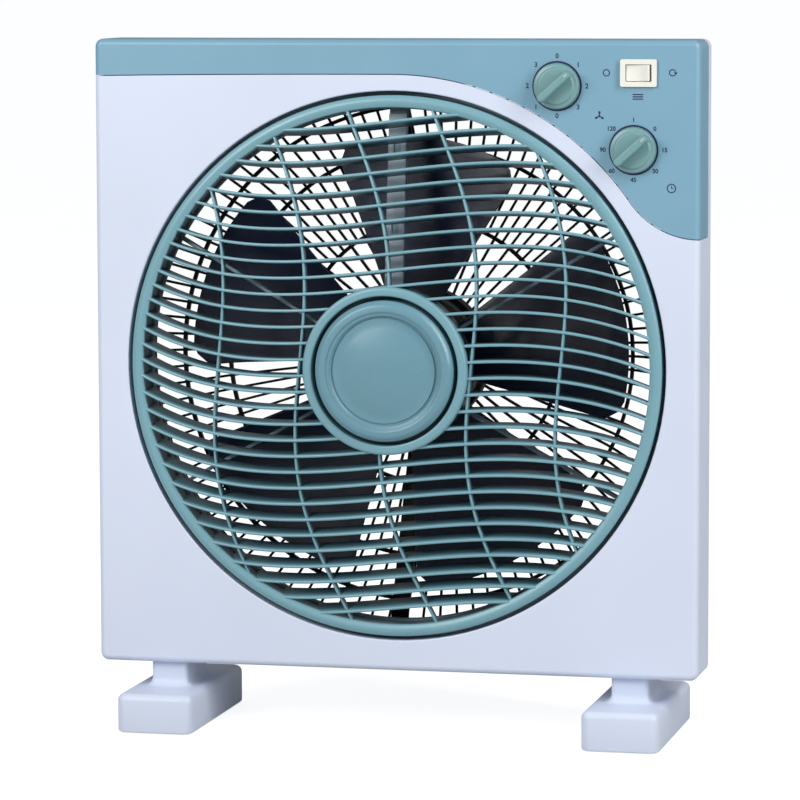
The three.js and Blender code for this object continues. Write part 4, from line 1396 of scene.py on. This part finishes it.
def area_light(name, location, target, width, height, power):
    """A rectangular light that faces its target; sizes in metres."""
    light = bpy.data.lights.new(name, "AREA")
    light.shape = "RECTANGLE"
    light.size = width
    light.size_y = height
    light.energy = power
    obj = bpy.data.objects.new(name, light)
    obj.location = location
    obj.rotation_euler = (Vector(target) - Vector(location)).to_track_quat("-Z", "Y").to_euler()
    bpy.context.scene.collection.objects.link(obj)


def floor_material():
    """A pale floor that looks as bright as the backdrop, and sends little light back up."""
    shader = Shader("pale_floor")
    speckle = shader.ranged(shader.noise(3.0, 2.0), 0.0, 1.0)
    shader.link(shader.blend(speckle, (0.54, 0.54, 0.545, 1), (0.56, 0.56, 0.565, 1)), "Base Color")
    shader.set(Roughness=0.7, Specular_IOR_Level=0.2)
    shader.set(Emission_Color=(0.98, 0.99, 1, 1))
    seen = shader.tree.nodes.new("ShaderNodeLightPath").outputs["Is Camera Ray"]
    shader.link(shader.ranged(seen, 0.0, FLOOR_GLOW), "Emission Strength")
    return shader.material


def build_stage():
    scene = bpy.context.scene
    corners = at_height(rectangle(0, 0, 2 * FLOOR_REACH, 2 * FLOOR_REACH), 0)
    floor = make_object("floor", corners, [(0, 1, 2, 3)])
    floor.data.materials.append(floor_material())
    scene.world = studio_world(scene.box_fan)
    area_light("key", **KEY, power=scene.box_fan.key_power)
    area_light("softbox", **SOFTBOX, power=scene.box_fan.softbox_power)
    camera = bpy.data.cameras.new("camera")
    camera.lens = CAMERA_LENS
    camera.sensor_width = 36
    camera.clip_end = 100
    holder = bpy.data.objects.new("camera", camera)
    holder.matrix_world = look_matrix(CAMERA_PLACE, CAMERA_FORWARD, CAMERA_ROLL)
    scene.collection.objects.link(holder)
    scene.camera = holder
    scene.view_settings.view_transform = "Standard"


# ---- Add-on ----
def colour_property(name, description, default):
    return bpy.props.FloatVectorProperty(
        name=name, description=description, default=default, subtype="COLOR", size=3, min=0, max=1
    )


def amount_property(name, description, default, unit="NONE"):
    return bpy.props.FloatProperty(
        name=name, description=description, default=default, min=0, unit=unit
    )


class BOXFAN_PG_settings(bpy.types.PropertyGroup):
    housing_colour: colour_property("Housing", "Colour of the shells and feet", (0.66, 0.72, 0.86))
    fascia_colour: colour_property("Fascia", "Colour of the control fascia", (0.20, 0.38, 0.50))
    louver_colour: colour_property("Louver", "Colour of the revolving louver", (0.19, 0.38, 0.44))
    cap_colour: colour_property("Cap", "Colour of the centre cap", (0.15, 0.31, 0.38))
    knob_colour: colour_property("Knobs", "Colour of the two knobs", (0.18, 0.34, 0.35))
    blade_colour: colour_property("Blades", "Colour of the fan blades", (0.012, 0.017, 0.045))
    backdrop_strength: amount_property("Backdrop", "Brightness of the backdrop behind the fan", 1.15)
    room_strength: amount_property("Room", "Brightness of the light from all round", 0.26)
    key_power: amount_property("Key light", "Power of the main light", 17.5, "POWER")
    softbox_power: amount_property("Softbox", "Power of the light that makes the highlights", 15.0, "POWER")


class BOXFAN_OT_stage(bpy.types.Operator):
    """Add the floor, the lights and the camera"""

    bl_idname = "boxfan.stage"
    bl_label = "Stage"

    def execute(self, context):
        build_stage()
        return {"FINISHED"}


class BOXFAN_OT_shells(bpy.types.Operator):
    """Build the front housing, the fascia, the rear housing and the cord gland"""

    bl_idname = "boxfan.shells"
    bl_label = "Shells"

    def execute(self, context):
        build_front_housing()
        build_fascia()
        build_rear_housing()
        build_gland()
        return {"FINISHED"}


class BOXFAN_OT_louver(bpy.types.Operator):
    """Build the revolving louver and its centre cap"""

    bl_idname = "boxfan.louver"
    bl_label = "Revolving Louver"

    def execute(self, context):
        build_louver()
        build_cap()
        return {"FINISHED"}


class BOXFAN_OT_spider(bpy.types.Operator):
    """Build the fixed spider, its wire channel and the louver's motor"""

    bl_idname = "boxfan.spider"
    bl_label = "Spider"

    def execute(self, context):
        build_spider()
        build_channel_cover()
        build_louver_motor()
        return {"FINISHED"}


class BOXFAN_OT_fan(bpy.types.Operator):
    """Build the blades, the motor, its strap and the air duct"""

    bl_idname = "boxfan.fan"
    bl_label = "Fan and Motor"

    def execute(self, context):
        build_fan()
        build_motor()
        build_bracket()
        build_duct()
        return {"FINISHED"}


class BOXFAN_OT_guard(bpy.types.Operator):
    """Build the rear guard"""

    bl_idname = "boxfan.guard"
    bl_label = "Rear Guard"

    def execute(self, context):
        build_guard()
        return {"FINISHED"}


class BOXFAN_OT_controls(bpy.types.Operator):
    """Build the knobs, the rocker and the printed marks"""

    bl_idname = "boxfan.controls"
    bl_label = "Controls"

    def execute(self, context):
        build_knob("speed_dial_knob", "speed_knob", "speed_dial")
        build_knob("timer_dial_knob", "timer_knob", "timer_dial")
        build_rocker()
        build_marks()
        return {"FINISHED"}


class BOXFAN_OT_feet(bpy.types.Operator):
    """Build the two feet and their rubber pads"""

    bl_idname = "boxfan.feet"
    bl_label = "Feet"

    def execute(self, context):
        build_foot("left_foot")
        build_foot("right_foot")
        return {"FINISHED"}


class BOXFAN_OT_screws(bpy.types.Operator):
    """Build the screws"""

    bl_idname = "boxfan.screws"
    bl_label = "Screws"

    def execute(self, context):
        screw_group("corner_screw", 4, 3.4, 1.7)
        screw_group("guard_screw", 4, 2.8, 1.2)
        screw_group("spider_screw", 4, 2.8, 1.2)
        screw_group("bracket_screw", 2, 2.8, 1.2)
        screw_group("motor_screw", 2, 3.2, 1.6)
        paint_node("steel", *[f"foot_screw_{n}" for n in range(1, 5)])
        return {"FINISHED"}


OPERATORS = (
    BOXFAN_OT_stage, BOXFAN_OT_shells, BOXFAN_OT_louver, BOXFAN_OT_spider, BOXFAN_OT_fan, BOXFAN_OT_guard,
    BOXFAN_OT_controls, BOXFAN_OT_feet, BOXFAN_OT_screws,
)


class BOXFAN_PT_panel(bpy.types.Panel):
    """Lists the fan's pieces"""

    bl_idname = "BOXFAN_PT_panel"
    bl_label = "Box Fan"
    bl_space_type = "VIEW_3D"
    bl_region_type = "UI"
    bl_category = "Box Fan"

    def draw(self, context):
        for name in BOXFAN_PG_settings.__annotations__:
            self.layout.prop(context.scene.box_fan, name)
        for operator in OPERATORS:
            self.layout.operator(operator.bl_idname)


CLASSES = (BOXFAN_PG_settings, *OPERATORS, BOXFAN_PT_panel)


def register():
    for each in CLASSES:
        bpy.utils.register_class(each)
    bpy.types.Scene.box_fan = bpy.props.PointerProperty(type=BOXFAN_PG_settings)


def unregister():
    del bpy.types.Scene.box_fan
    for each in reversed(CLASSES):
        bpy.utils.unregister_class(each)


def main():
    register()
    for operator in OPERATORS:
        getattr(bpy.ops.boxfan, operator.bl_idname.split(".")[1])()


if __name__ == "__main__":
    main()
